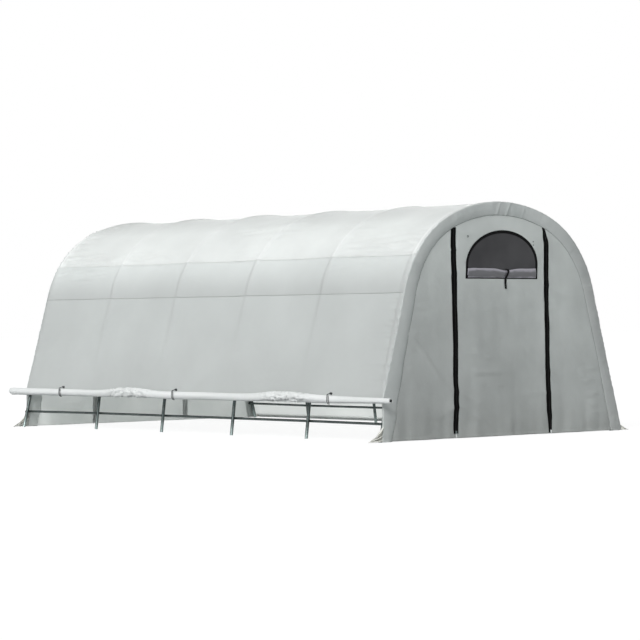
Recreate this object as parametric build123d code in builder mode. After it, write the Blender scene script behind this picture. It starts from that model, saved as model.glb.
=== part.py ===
# Polytunnel greenhouse: six steel ribs under a fabric cover, with a zipped door at each end.
# Millimetres. +Z is up, the front door faces -Y and the rolled-up side is at -X.
# The origin is on the ground, midway along the roll, which is the longest piece.

import os
from math import asin, atan2, cos, pi, radians, sin, sqrt, tan

from build123d import *

os.makedirs("parts", exist_ok=True)

# Tunnel, measured on the outer face of the cover
bays = 5
bay_length = 1219.2
half_width = 1830
height = 2440
side_lean = 16
shoulder_radius = 1150
crown_angle = 21.5

# Steel tube
tube_d = 35
tube_wall = 1.5
rail_d = 27
rail_wall = 1.2
rail_height = 180
rail_bend_radius = 80
spigot_length = 100
spigot_step = 4
front_foot_draw = 110
foot_draw = 195
rear_foot_draw = 40
leg_straight = 300
leg_bend_radius = 1500

# Fabric and fits
fabric = 3
clearance = 0.4
seat_gap = 0.3
hem_gap = 6
upper_seam_drop = 560
lower_seam_drop = 950
band_width = 140
band_depth = 30

# Roll on the open side
roll_height = 420
roll_radius = 44
roll_tip_radius = 27
roll_bulge_radius = 61
roll_front_overhang = 220
roll_rear_overhang = 300
roll_taper = 880
roll_rounding = 60
roll_roundness = 0.95
roll_cap = 30
bulge_places = (1595, 4250)
bulge_spread = 700
bulge_steps = 4
round_steps = 4
pipe_d = 27
pipe_wall = 1.2
tie_places = (900, 3410, 5500)
tie_cord_d = 7
tie_start = 20
tie_sweep = 245

# End panels, doors and windows
door_half_width = 700
zip_width = 70
zip_foot = 50
window_width = 1030
window_rise = 475
window_upright = 130
window_drop = 315
window_offset = 15
binding_width = 20
flap_height = 100
flap_depth = 5
strap_width = 30
strap_depth = 2.5
strap_offset = 45
strap_drop = 100
strap_rise = 90

# Gathered corners
tail_reach = 130
tail_height = 180
tail_depth = 20
tail_toe = 30

# Rib stations
front_rib = -(bays * bay_length + roll_front_overhang + roll_rear_overhang) / 2 + roll_front_overhang
rib_places = [front_rib + number * bay_length for number in range(bays + 1)]
rear_rib = rib_places[-1]

# Depths of the layers outside an end rib, from its centre line outward
panel_back = tube_d / 2 + clearance
panel_front = panel_back + fabric
trim_back = panel_front + clearance
strap_back = trim_back + max(fabric, flap_depth) + clearance
cover_end = trim_back + band_depth

# Insets of the layers inside the cover's outer face
tube_inset = fabric + clearance + tube_d / 2
panel_inset = fabric + clearance
purlin_inset = fabric + clearance + tube_d + seat_gap + rail_d / 2

# Arcs of the cross-section: the shoulder's centre where x is positive, and the crown's on the middle
lean = radians(side_lean)
crown_start = 90 - crown_angle
rise_per_reach = tan(radians(crown_angle) / 2)
reach = half_width - shoulder_radius * cos(lean)
rise = height - shoulder_radius * (1 - sin(lean))
leg_rise = (rise - rise_per_reach * reach) / (cos(lean) - rise_per_reach * sin(lean))
leg_top = leg_rise * cos(lean)
shoulder_x = reach - leg_rise * sin(lean)
shoulder_z = leg_top - shoulder_radius * sin(lean)
crown_radius = shoulder_radius + shoulder_x / sin(radians(crown_angle))
crown_z = height - crown_radius
upper_seam = height - upper_seam_drop
lower_seam = height - lower_seam_drop
window_sill = height - window_drop - window_rise


def side_x(inset, level):
    # Distance from the middle to the sloping side, at a level above the ground.
    return half_width - inset / cos(lean) - level * tan(lean)


def leg_point(inset, rise):
    # Point on the sloping side, this far up the slope from the foot of the cover.
    x = half_width - inset * cos(lean) - rise * sin(lean)
    return (x, rise * cos(lean) - inset * sin(lean))


def section_plane(y):
    # Cross-section of the tunnel: local x is across, local y is up, and it faces the front.
    return Plane(origin=(0, y, 0), x_dir=(1, 0, 0), z_dir=(0, -1, 0))


def arch_face(inset, foot=0):
    # Everything under the arch that runs this far inside the cover's outer face.
    top = leg_point(inset, leg_rise)
    with BuildSketch() as face:
        with BuildLine():
            Line((side_x(inset, foot), foot), top)
            CenterArc((shoulder_x, shoulder_z), shoulder_radius - inset, side_lean, crown_start - side_lean)
            CenterArc((0, crown_z), crown_radius - inset, crown_start, 180 - 2 * crown_start)
            CenterArc((-shoulder_x, shoulder_z), shoulder_radius - inset, 180 - crown_start,
                      crown_start - side_lean)
            Line((-top[0], top[1]), (-side_x(inset, foot), foot))
            Line((-side_x(inset, foot), foot), (side_x(inset, foot), foot))
        make_face()
    return face.sketch


def window_face(margin):
    # Arched window with short upright sides, grown all round by this margin.
    half = window_width / 2 + margin
    with BuildSketch() as face:
        with Locations((window_offset, window_sill + window_upright)):
            Ellipse(half, window_rise - window_upright + margin)
        with Locations((window_offset, window_sill - margin)):
            Rectangle(2 * half, window_upright + margin, align=(Align.CENTER, Align.MIN))
            Rectangle(2 * half, height, align=(Align.CENTER, Align.MIN), mode=Mode.INTERSECT)
    return face.sketch


def finish(part, name):
    part.label = name
    export_step(part, f"parts/{name}.step")


# Legs: each bends in a little at the knee, least at the rear of the tunnel
leg_end = leg_point(tube_inset, leg_rise)
knee = leg_point(tube_inset, leg_rise - leg_straight)
leg_draws = [front_foot_draw] + [foot_draw] * (bays - 1) + [rear_foot_draw]
for number, (y, draw) in enumerate(zip(rib_places, leg_draws), 1):
    toe_x = side_x(tube_inset, -tube_d) - draw * (knee[1] + tube_d) / knee[1]
    with BuildPart() as legs:
        with BuildLine(section_plane(y)) as route:
            FilletPolyline(leg_end, knee, (toe_x, -tube_d), radius=leg_bend_radius)
        with BuildSketch(Plane(origin=route.line @ 0, z_dir=route.line % 0)):
            Circle(tube_d / 2)
            Circle(tube_d / 2 - tube_wall, mode=Mode.SUBTRACT)
        sweep()
        split(bisect_by=Plane.XY, keep=Keep.TOP)
        mirror(about=Plane.YZ)
    finish(legs.part, f"legs_{number}")

# Hoops: each ends in a stepped spigot that sits inside the leg's top
for number, y in enumerate(rib_places, 1):
    radius = shoulder_radius - tube_inset
    with BuildPart() as hoop:
        with BuildLine(section_plane(y)) as route:
            CenterArc((shoulder_x, shoulder_z), radius, side_lean, crown_start - side_lean)
            CenterArc((0, crown_z), crown_radius - tube_inset, crown_start, 180 - 2 * crown_start)
            CenterArc((-shoulder_x, shoulder_z), radius, 180 - crown_start, crown_start - side_lean)
        top = Plane(origin=route.line @ 0, z_dir=-(route.line % 0))
        with BuildSketch(top):
            Circle(tube_d / 2)
            Circle(tube_d / 2 - tube_wall, mode=Mode.SUBTRACT)
        sweep()
        spigot_radius = tube_d / 2 - tube_wall - clearance
        with BuildSketch(top):
            Circle((tube_d - tube_wall) / 2)
            Circle(spigot_radius - tube_wall, mode=Mode.SUBTRACT)
        extrude(amount=-spigot_step)
        with BuildSketch(top):
            Circle(spigot_radius)
            Circle(spigot_radius - tube_wall, mode=Mode.SUBTRACT)
        extrude(amount=spigot_length)
        split(bisect_by=Plane.YZ, keep=Keep.TOP)
        mirror(about=Plane.YZ)
    finish(hoop.part, f"hoop_{number}")

# Purlins: straight tubes that lie against the inside of the hoops
purlin_end = tube_d / 2 - clearance
purlin_length = rear_rib - front_rib + 2 * purlin_end
purlin_plane = section_plane(rear_rib + purlin_end)
seam_angle = asin((upper_seam - shoulder_z) / shoulder_radius)
purlin_x = shoulder_x + (shoulder_radius - purlin_inset) * cos(seam_angle)
purlin_z = shoulder_z + (shoulder_radius - purlin_inset) * sin(seam_angle)
purlins = {
    "ridge_purlin": (0, height - purlin_inset),
    "shoulder_purlin_left": (-purlin_x, purlin_z),
    "shoulder_purlin_right": (purlin_x, purlin_z),
}
for name, place in purlins.items():
    with BuildPart() as purlin:
        with BuildSketch(purlin_plane):
            with Locations(place):
                Circle(rail_d / 2)
                Circle(rail_d / 2 - rail_wall, mode=Mode.SUBTRACT)
        extrude(amount=purlin_length)
    finish(purlin.part, name)


def rail_x(draw):
    # Distance from the middle to a base rail that lies inside a leg drawn in this far at its foot.
    foot = side_x(tube_inset, 0) - draw
    slope = atan2(foot - knee[0], knee[1])
    return foot - rail_height * tan(slope) - (tube_d / 2 + rail_d / 2 + seat_gap) / cos(slope)


def rail_tip(draw):
    # Where a rail that steps out to an end leg stops: how far from the middle, and how far past the rib.
    slope = (rail_x(draw) - rail_x(foot_draw)) / bay_length
    past = purlin_end - rail_d / 2 * abs(slope)
    return rail_x(draw) + past * slope, past


# Base rails: low tubes along the inside of the legs, stepping out to the legs at both ends
for side, name in ((-1, "base_rail_left"), (1, "base_rail_right")):
    front_x, front_past = rail_tip(front_foot_draw)
    rear_x, rear_past = rail_tip(rear_foot_draw)
    middle_x = rail_x(foot_draw)
    with BuildPart() as rail:
        with BuildLine(Plane.XY.offset(rail_height)) as route:
            FilletPolyline(
                (side * front_x, front_rib - front_past),
                (side * middle_x, rib_places[1]),
                (side * middle_x, rib_places[-2]),
                (side * rear_x, rear_rib + rear_past),
                radius=rail_bend_radius,
            )
        with BuildSketch(Plane(origin=route.line @ 0, z_dir=route.line % 0)):
            Circle(rail_d / 2)
            Circle(rail_d / 2 - rail_wall, mode=Mode.SUBTRACT)
        sweep()
    finish(rail.part, name)

# Roll on the open side: the cover's lower part wound on a pipe, thicker where it is bunched
roll_length = rear_rib - front_rib + roll_front_overhang + roll_rear_overhang
roll_inset = -(roll_radius + seat_gap)
roll_rise = (roll_height + roll_inset * sin(lean)) / cos(lean)
roll_tip = front_rib - roll_front_overhang


def roll_section(distance):
    # Radius and centre of the roll, this far behind its front tip.
    bulge = 0
    for place in bulge_places:
        if abs(distance - place) < bulge_spread:
            bulge = (roll_bulge_radius - roll_radius) * cos(pi / 2 * (distance - place) / bulge_spread) ** 2
    taper = (roll_radius - roll_tip_radius) * max(0, 1 - distance / roll_taper)
    rounding = roll_roundness * max(0, 1 - (roll_length - distance) / roll_rounding)
    radius = (roll_radius + bulge - taper) * sqrt(1 - rounding**2)
    x, z = leg_point(roll_inset - bulge, roll_rise + bulge)
    return radius, (-x, z)


roll_stations = [0, roll_taper]
for place in bulge_places:
    for step in range(-bulge_steps, bulge_steps + 1):
        roll_stations.append(place + bulge_spread * step / bulge_steps)
for step in range(round_steps + 1):
    roll_stations.append(roll_length - roll_rounding * (1 - sin(pi / 2 * step / round_steps)))
pipe_axis = roll_section(roll_taper)[1]
with BuildPart() as side_roll:
    for distance in sorted(set(roll_stations)):
        radius, centre = roll_section(distance)
        with BuildSketch(section_plane(roll_tip + distance)):
            with Locations(centre):
                Circle(radius)
    loft(ruled=True)
    with BuildSketch(section_plane(roll_tip)):
        with Locations(pipe_axis):
            Circle(pipe_d / 2 + clearance)
    extrude(amount=-(roll_length - roll_cap), mode=Mode.SUBTRACT)
finish(side_roll.part, "side_roll_left")

with BuildPart() as roll_pipe:
    with BuildSketch(section_plane(roll_tip)):
        with Locations(pipe_axis):
            Circle(pipe_d / 2)
            Circle(pipe_d / 2 - pipe_wall, mode=Mode.SUBTRACT)
    extrude(amount=-(roll_length - roll_cap - clearance))
finish(roll_pipe.part, "roll_pipe_left")

# Ties: cords hooked round the outside of the roll
with BuildPart() as ties:
    for place in tie_places:
        radius, centre = roll_section(place)
        with BuildLine(section_plane(roll_tip + place)) as route:
            CenterArc(centre, radius + seat_gap + tie_cord_d / 2, tie_start, tie_sweep)
        with BuildSketch(Plane(origin=route.line @ 0, z_dir=route.line % 0)):
            Circle(tie_cord_d / 2)
        sweep()
finish(ties.part, "roll_ties_left")

# Cover: sheets that meet at level seams, from the ridge down to the hem or the roll
pocket_radius = pipe_d / 2 + clearance + fabric
pocket_level = hem_gap + pocket_radius
pocket_axis = (side_x(fabric - pocket_radius, pocket_level), pocket_level)
sheets = {
    "cover_roof": (0, 2 * half_width, upper_seam, height),
    "cover_shoulder_left": (-half_width, half_width, lower_seam, upper_seam),
    "cover_shoulder_right": (half_width, half_width, lower_seam, upper_seam),
    "cover_side_left": (-half_width, half_width, roll_height - roll_radius * sin(lean), lower_seam),
    "cover_side_right": (half_width, half_width, pocket_level, lower_seam),
}
for name, (middle, width, low, high) in sheets.items():
    with BuildPart() as sheet:
        with BuildSketch(section_plane(rear_rib + cover_end)):
            add(arch_face(0))
            add(arch_face(fabric), mode=Mode.SUBTRACT)
            with Locations((middle, low)):
                Rectangle(width, high - low, align=(Align.CENTER, Align.MIN), mode=Mode.INTERSECT)
        extrude(amount=rear_rib - front_rib + 2 * cover_end)
        if name == "cover_side_right":
            with BuildSketch(section_plane(rear_rib)):
                with Locations(pocket_axis):
                    Circle(pocket_radius)
            extrude(amount=rear_rib - front_rib)
            with BuildSketch(section_plane(rear_rib)):
                with Locations(pocket_axis):
                    Circle(pocket_radius - fabric)
            extrude(amount=rear_rib - front_rib, mode=Mode.SUBTRACT)
    finish(sheet.part, name)

with BuildPart() as hem_pipe:
    with BuildSketch(section_plane(rear_rib)):
        with Locations(pocket_axis):
            Circle(pipe_d / 2)
            Circle(pipe_d / 2 - pipe_wall, mode=Mode.SUBTRACT)
    extrude(amount=rear_rib - front_rib)
finish(hem_pipe.part, "hem_pipe_right")


def end_plane(rib, facing, depth):
    # Upright plane this far outside an end rib, with local x to the right of someone facing it.
    return Plane(origin=(0, rib + facing * depth, 0), x_dir=(-facing, 0, 0), z_dir=(0, facing, 0))


def upright(middle, width, low, high, mode):
    # Upright rectangle in an end wall.
    with Locations((middle, low)):
        Rectangle(width, high - low, align=(Align.CENTER, Align.MIN), mode=mode)


# End walls: two side panels and a door between them, the same at both ends
panel_outline = arch_face(panel_inset, hem_gap)
band_hole = arch_face(panel_inset + band_width, hem_gap)
zip_limit = arch_face(panel_inset + band_width + clearance, zip_foot)
panel_width = half_width - door_half_width
panel_middle = door_half_width + clearance + panel_width / 2
for end, rib, facing in (("front", front_rib, -1), ("rear", rear_rib, 1)):
    for side, name in ((-1, f"{end}_panel_left"), (1, f"{end}_panel_right")):
        with BuildPart() as panel:
            with BuildSketch(end_plane(rib, facing, panel_back)):
                add(panel_outline)
                upright(side * panel_middle, panel_width, 0, height, Mode.INTERSECT)
            extrude(amount=fabric)
        finish(panel.part, name)

    with BuildPart() as door:
        with BuildSketch(end_plane(rib, facing, panel_back)):
            add(panel_outline)
            upright(0, 2 * door_half_width, 0, height, Mode.INTERSECT)
            add(window_face(0), mode=Mode.SUBTRACT)
        extrude(amount=fabric)
    finish(door.part, f"{end}_door")

    with BuildPart() as screen:
        with BuildSketch(end_plane(rib, facing, panel_back)):
            add(window_face(-clearance))
        extrude(amount=fabric)
    finish(screen.part, f"{end}_window_screen")

    with BuildPart() as binding:
        with BuildSketch(end_plane(rib, facing, trim_back)):
            add(window_face(binding_width / 2))
            add(window_face(-binding_width / 2), mode=Mode.SUBTRACT)
        extrude(amount=fabric)
    finish(binding.part, f"{end}_window_binding")

    with BuildPart() as flap:
        with BuildSketch(end_plane(rib, facing, trim_back)):
            add(window_face(-binding_width / 2 - clearance))
            upright(window_offset, window_width, window_sill, window_sill + flap_height, Mode.INTERSECT)
        extrude(amount=flap_depth)
    finish(flap.part, f"{end}_window_flap")

    with BuildPart() as strap:
        with BuildSketch(end_plane(rib, facing, strap_back)):
            upright(strap_offset, strap_width, window_sill - strap_drop, window_sill + strap_rise, Mode.ADD)
        extrude(amount=strap_depth)
    finish(strap.part, f"{end}_window_strap")

    with BuildPart() as zips:
        with BuildSketch(end_plane(rib, facing, trim_back)):
            for side in (-1, 1):
                upright(side * door_half_width, zip_width, 0, height, Mode.ADD)
            add(zip_limit, mode=Mode.INTERSECT)
        extrude(amount=fabric)
    finish(zips.part, f"{end}_door_zips")

    with BuildPart() as band:
        with BuildSketch(end_plane(rib, facing, trim_back)):
            add(panel_outline)
            add(band_hole, mode=Mode.SUBTRACT)
        extrude(amount=band_depth)
    finish(band.part, f"cover_band_{end}")

# Gathered corners: a small fabric tail at each foot of the end walls
with BuildPart() as tails:
    for rib, facing in ((front_rib, -1), (rear_rib, 1)):
        for side, inset in ((-1, fabric), (1, -clearance)):
            toe = side_x(inset, hem_gap) + tail_reach
            with BuildSketch(section_plane(rib + facing * cover_end)):
                with BuildLine():
                    Polyline(
                        (side * side_x(inset, tail_height), tail_height),
                        (side * side_x(inset, hem_gap), hem_gap),
                        (side * toe, hem_gap),
                        (side * toe, hem_gap + tail_toe),
                        close=True,
                    )
                make_face()
            extrude(amount=facing * tail_depth)
finish(tails.part, "corner_tails")
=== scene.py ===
import math

import bmesh
import bpy
from mathutils import Matrix, Vector, geometry, noise


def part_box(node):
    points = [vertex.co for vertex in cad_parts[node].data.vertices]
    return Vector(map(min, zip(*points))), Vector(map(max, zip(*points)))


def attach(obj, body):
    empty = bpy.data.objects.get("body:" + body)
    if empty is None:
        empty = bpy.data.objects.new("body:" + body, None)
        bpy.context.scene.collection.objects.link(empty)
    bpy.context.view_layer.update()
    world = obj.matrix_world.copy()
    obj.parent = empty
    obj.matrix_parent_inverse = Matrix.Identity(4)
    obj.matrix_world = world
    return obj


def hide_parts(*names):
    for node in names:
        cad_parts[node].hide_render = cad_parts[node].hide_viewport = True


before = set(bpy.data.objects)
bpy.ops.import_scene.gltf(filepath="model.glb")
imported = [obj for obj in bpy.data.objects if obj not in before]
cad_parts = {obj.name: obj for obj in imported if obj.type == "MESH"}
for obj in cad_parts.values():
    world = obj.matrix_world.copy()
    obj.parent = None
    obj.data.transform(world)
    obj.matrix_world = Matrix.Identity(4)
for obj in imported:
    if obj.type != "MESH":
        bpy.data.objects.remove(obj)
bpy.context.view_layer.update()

print("frame loaded")

# The tunnel's cross-section, metres and degrees, as it was drafted
tunnel = {
    "halfWidth": 1.830,
    "height": 2.440,
    "sideLean": 16.0,
    "shoulderRadius": 1.150,
    "crownAngle": 21.5,
    "tubeRadius": 0.0175,
    "upperSeam": 1.880,
    "lowerSeam": 1.490,
    "clothThickness": 0.0008,
}


def middleOf(node, axis):
    low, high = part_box(node)
    return (low[axis] + high[axis]) / 2


ribPlaces = [middleOf(f"hoop_{number}", 1) for number in range(1, 7)]
frontRib, rearRib = ribPlaces[0], ribPlaces[-1]
halfBay = (rearRib - frontRib) / (2 * (len(ribPlaces) - 1))
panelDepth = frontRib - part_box("front_door")[0].y  # outer face of the end walls, from the end rib's middle
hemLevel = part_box("front_door")[0].z
tunnelEnds = (("front", -1), ("rear", 1))  # each end, and the way it faces along the tunnel

lean = math.radians(tunnel["sideLean"])
crownHalf = math.radians(tunnel["crownAngle"])
shoulderRadius = tunnel["shoulderRadius"]
halfWidth = tunnel["halfWidth"]
risePerReach = math.tan(crownHalf / 2)
reach = halfWidth - shoulderRadius * math.cos(lean)
rise = tunnel["height"] - shoulderRadius * (1 - math.sin(lean))
legRise = (rise - risePerReach * reach) / (math.cos(lean) - risePerReach * math.sin(lean))
shoulderX = reach - legRise * math.sin(lean)
shoulderZ = legRise * math.cos(lean) - shoulderRadius * math.sin(lean)
crownRadius = shoulderRadius + shoulderX / math.sin(crownHalf)
crownZ = tunnel["height"] - crownRadius
shoulderSweep = math.pi / 2 - crownHalf - lean
shoulderLength = shoulderRadius * shoulderSweep
archLength = 2 * (legRise + shoulderLength + crownRadius * crownHalf)


def archPoint(along, inset=0.0):
    # Point and outward direction on the arch, this far along it from the left foot, as (x, z), (x, z)
    side = -1 if along <= archLength / 2 else 1
    run = min(along, archLength - along)
    if run <= legRise:
        x, z = halfWidth - run * math.sin(lean), run * math.cos(lean)
        out = (math.cos(lean), math.sin(lean))
    elif run <= legRise + shoulderLength:
        turn = lean + (run - legRise) / shoulderRadius
        out = (math.cos(turn), math.sin(turn))
        x, z = shoulderX + shoulderRadius * out[0], shoulderZ + shoulderRadius * out[1]
    else:
        turn = lean + shoulderSweep + (run - legRise - shoulderLength) / crownRadius
        out = (math.cos(turn), math.sin(turn))
        x, z = crownRadius * out[0], crownZ + crownRadius * out[1]
    return (side * (x - inset * out[0]), z - inset * out[1]), (side * out[0], out[1])


def archHeight(x, inset=0.0):
    # Height of the arch above the ground at this distance from the middle
    x = abs(x)
    if x <= (crownRadius - inset) * math.sin(crownHalf):
        return crownZ + math.sqrt((crownRadius - inset) ** 2 - x * x)
    if x <= shoulderX + (shoulderRadius - inset) * math.cos(lean):
        return shoulderZ + math.sqrt(max(0.0, (shoulderRadius - inset) ** 2 - (x - shoulderX) ** 2))
    return (halfWidth - inset / math.cos(lean) - x) / math.tan(lean)


def archRun(level):
    # How far along the arch the outer face reaches this height on the left
    low, high = 0.0, archLength / 2
    for _ in range(50):
        middle = (low + high) / 2
        if archPoint(middle)[0][1] < level:
            low = middle
        else:
            high = middle
    return low


def endRib(facing):
    return frontRib if facing < 0 else rearRib


def smooth(low, high, value):
    # Eases from 0 at the first value to 1 at the second, whichever is the greater
    place = min(1.0, max(0.0, (value - low) / (high - low)))
    return place * place * (3 - 2 * place)


def between(knots, value):
    # Reads a smooth line drawn through (place, amount) pairs
    if value <= knots[0][0]:
        return knots[0][1]
    for (low, first), (high, second) in zip(knots, knots[1:]):
        if value <= high:
            return first + (second - first) * smooth(low, high, value)
    return knots[-1][1]


def ripple(x, y, seed):
    return noise.noise(Vector((x, y, seed)))


def crease(x, y, seed, sharpness=2.0, narrowness=3.2):
    # Narrow ridges where the noise passes through nought, from 0 to 1
    return (1 - min(1.0, abs(ripple(x, y, seed)) * narrowness)) ** sharpness


# Materials

def linear(hexColour):
    parts = [int(hexColour[place:place + 2], 16) / 255 for place in (1, 3, 5)]
    return (*(part / 12.92 if part <= 0.04045 else ((part + 0.055) / 1.055) ** 2.4 for part in parts), 1.0)


def newMaterial(name):
    material = bpy.data.materials.new(name)
    material.use_nodes = True
    material.node_tree.nodes.clear()
    return material, material.node_tree


def addNode(tree, kind, settings=None, links=None):
    # Adds a node: settings are a ramp's stops, properties or sockets' values, and links feed its sockets
    node = tree.nodes.new(kind)
    for key, value in (settings or {}).items():
        if key == "stops":
            elements = node.color_ramp.elements
            while len(elements) < len(value):
                elements.new(0.5)
            for element, (place, colour) in zip(elements, value):
                element.position = place
                element.color = linear(colour)
        elif isinstance(key, str) and hasattr(node, key):
            setattr(node, key, value)
        else:
            node.inputs[key].default_value = value
    for key, source in (links or {}).items():
        tree.links.new(source, node.inputs[key])
    return node


def clothMaterial(name, fabric):
    # Coated woven polyethylene tape: flat tapes over and under, a soft plastic shine, and light passes through
    material, tree = newMaterial(name)
    place = addNode(tree, "ShaderNodeTexCoord").outputs["Object"]
    sewn = addNode(tree, "ShaderNodeUVMap", {"uv_map": "cloth"}).outputs["UV"]
    cloud = addNode(tree, "ShaderNodeTexNoise",
                    {"Scale": fabric["cloudScale"], "Detail": 4.0, "Roughness": 0.55},
                    {"Vector": place}).outputs["Fac"]
    colour = addNode(tree, "ShaderNodeValToRGB", {"stops": [(0.32, fabric["shade"]), (0.68, fabric["colour"])]},
                     {"Fac": cloud}).outputs["Color"]
    parted = addNode(tree, "ShaderNodeSeparateXYZ", {}, {"Vector": place}).outputs
    # painted shade: each part's colour is scaled down between two heights, towards the ridge on the roof and
    # towards the foot elsewhere, and towards the right, the side turned from the sun
    for axis, start, stop, first, last in (("Z", fabric["paintedShadeFrom"], fabric["paintedShadeTo"], fabric["paintedShade"], 1.0),
                                           ("X", 0.7, 1.3, 1.0, fabric["paintedShadeRight"])):
        paintedShading = addNode(tree, "ShaderNodeMapRange",
                         {"From Min": start, "From Max": stop, "To Min": first, "To Max": last},
                         {"Value": parted[axis]}).outputs["Result"]
        colour = addNode(tree, "ShaderNodeVectorMath", {"operation": "SCALE"},
                         {0: colour, "Scale": paintedShading}).outputs[0]
    # rain splashes dust up from the ground
    grime = addNode(tree, "ShaderNodeMapRange",
                    {"From Min": 0.0, "From Max": fabric["splash"], "To Min": fabric["grime"], "To Max": 0.0},
                    {"Value": parted["Z"]}).outputs["Result"]
    speckle = addNode(tree, "ShaderNodeTexNoise", {"Scale": 9.0, "Detail": 6.0},
                      {"Vector": place}).outputs["Fac"]
    dusty = addNode(tree, "ShaderNodeMath", {"operation": "MULTIPLY"}, {0: grime, 1: speckle}).outputs[0]
    mixed = addNode(tree, "ShaderNodeMix", {"data_type": "RGBA", 7: linear(fabric["dust"])},
                    {0: dusty, 6: colour}).outputs[2]
    # tapes 2.5 mm wide are too fine to show, so the weave is drawn at four times that
    scaled = addNode(tree, "ShaderNodeMapping", {"Scale": (1 / fabric["weave"],) * 3},
                     {"Vector": sewn}).outputs[0]
    weave = addNode(tree, "ShaderNodeTexChecker", {"Scale": 1.0}, {"Vector": scaled}).outputs["Fac"]
    pebble = addNode(tree, "ShaderNodeTexNoise", {"Scale": fabric["crumple"], "Detail": 3.0, "Roughness": 0.5},
                     {"Vector": place}).outputs["Fac"]
    relief = addNode(tree, "ShaderNodeMath", {"operation": "MULTIPLY_ADD", 1: fabric["tapeRelief"]},
                     {0: weave, 2: pebble}).outputs[0]
    bump = addNode(tree, "ShaderNodeBump", {"Strength": fabric["bump"], "Distance": fabric["bumpDepth"]},
                   {"Height": relief}).outputs["Normal"]
    rough = addNode(tree, "ShaderNodeMapRange",
                    {"To Min": fabric["roughness"] - 0.06, "To Max": fabric["roughness"] + 0.08},
                    {"Value": speckle}).outputs["Result"]
    body = addNode(tree, "ShaderNodeBsdfPrincipled", {"Specular IOR Level": fabric["shine"]},
                   {"Base Color": mixed, "Roughness": rough, "Normal": bump}).outputs[0]
    through = addNode(tree, "ShaderNodeBsdfTranslucent", {}, {"Color": mixed, "Normal": bump}).outputs[0]
    # painted highlight: on the roof the cloth over each tube lets almost no light through and reflects it
    # instead, a bright line along each rib; from 6 to 16 mm beside a rib's middle it passes light as elsewhere
    bay = addNode(tree, "ShaderNodeMath", {"operation": "SUBTRACT", 1: frontRib}, {0: parted["Y"]}).outputs[0]
    away = addNode(tree, "ShaderNodeMath", {"operation": "PINGPONG", 1: halfBay}, {0: bay}).outputs[0]
    passingAndTubeHighlight = addNode(tree, "ShaderNodeMapRange",
                      {"From Min": 0.006, "From Max": 0.016, "To Max": fabric["passes"],
                       "To Min": fabric.get("tubeHighlight", fabric["passes"])}, {"Value": away}).outputs["Result"]
    both = addNode(tree, "ShaderNodeMixShader", {}, {0: passingAndTubeHighlight, 1: body, 2: through}).outputs[0]
    addNode(tree, "ShaderNodeOutputMaterial", {}, {"Surface": both})
    return material


# the cover's cloth, and what is different on each part: how much light passes, painted shade and painted light
# in its colours as the light falls on each part, and the rolled and gathered cloth
coverLook = {"colour": "#f3f5f4", "shade": "#eceeed", "dust": "#a9a79b", "cloudScale": 1.3,
             "grime": 0.05, "splash": 0.45, "weave": 0.010, "tapeRelief": 0.06, "crumple": 26.0,
             "bump": 0.30, "bumpDepth": 0.004, "roughness": 0.50, "shine": 0.10, "passes": 0.46,
             "paintedShadeFrom": 0.0, "paintedShadeTo": 1.0, "paintedShade": 1.0, "paintedShadeRight": 1.0}
# painted shade: the side is given a darker colour than the roof, and grows darker again from 1.49 m down to 0.4
# m
sideLook = {"colour": "#dcdfde", "shade": "#d6d9d8", "paintedShadeFrom": 0.4, "paintedShadeTo": 1.49, "paintedShade": 0.92}
# painted shade: the end walls grow darker towards the ground, to 0.74 of their colour at the foot
endLook = {"colour": "#e6e9e8", "shade": "#dadddc", "cloudScale": 1.7, "grime": 0.12, "passes": 0.60,
           "paintedShadeFrom": 0.0, "paintedShadeTo": 2.1, "paintedShade": 0.74}
clothLooks = {
    "Roof": {},
    # painted shade: the roof grows darker towards its ridge, above 2.22 m; painted highlight: over each tube it
    # passes almost no light and reflects it instead
    "RoofWithPaintedLight": {"paintedShadeFrom": 2.45, "paintedShadeTo": 2.22, "paintedShade": 0.86, "tubeHighlight": 0.03},
    # painted shade: the shoulder grows darker towards its lower seam
    "Shoulder": {"colour": "#eff2f1", "shade": "#e9eceb", "paintedShadeFrom": 1.49, "paintedShadeTo": 1.90, "paintedShade": 0.78},
    "Side": sideLook,
    # painted light: the closed side, which stands in shade, is given a paler colour than the open side, without
    # its painted shade, and passes more light into the tunnel
    "ShadedSidePaintedLight": {**sideLook, "colour": "#ebedec", "shade": "#e5e7e6", "passes": 0.80, "paintedShade": 1.0},
    "Rolled": {"colour": "#eaecec", "shade": "#dfe2e1", "crumple": 34.0, "passes": 0.16, "grime": 0.0,
               "bump": 0.45},
    # painted shade: the bands grow darker towards the right, the side turned from the sun
    "Band": {"colour": "#e3e6e5", "shade": "#d9dddc", "cloudScale": 2.6, "grime": 0.10, "passes": 0.45,
             "paintedShadeRight": 0.76},
    "EndWall": endLook,
    # painted light: the rear wall, which stands in shade, is given a paler colour, without the end walls'
    # painted shade
    "ShadedEndWallPaintedLight": {**endLook, "colour": "#eceeed", "shade": "#e4e7e6", "passes": 0.58, "paintedShade": 1.0},
    "Gathered": {"colour": "#f4f5f3", "shade": "#e4e4dc", "cloudScale": 9.0, "grime": 0.3, "passes": 0.2},
}
cloths = {part: clothMaterial(f"wovenPolyethylene{part}", {**coverLook, **look})
          for part, look in clothLooks.items()}


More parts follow.
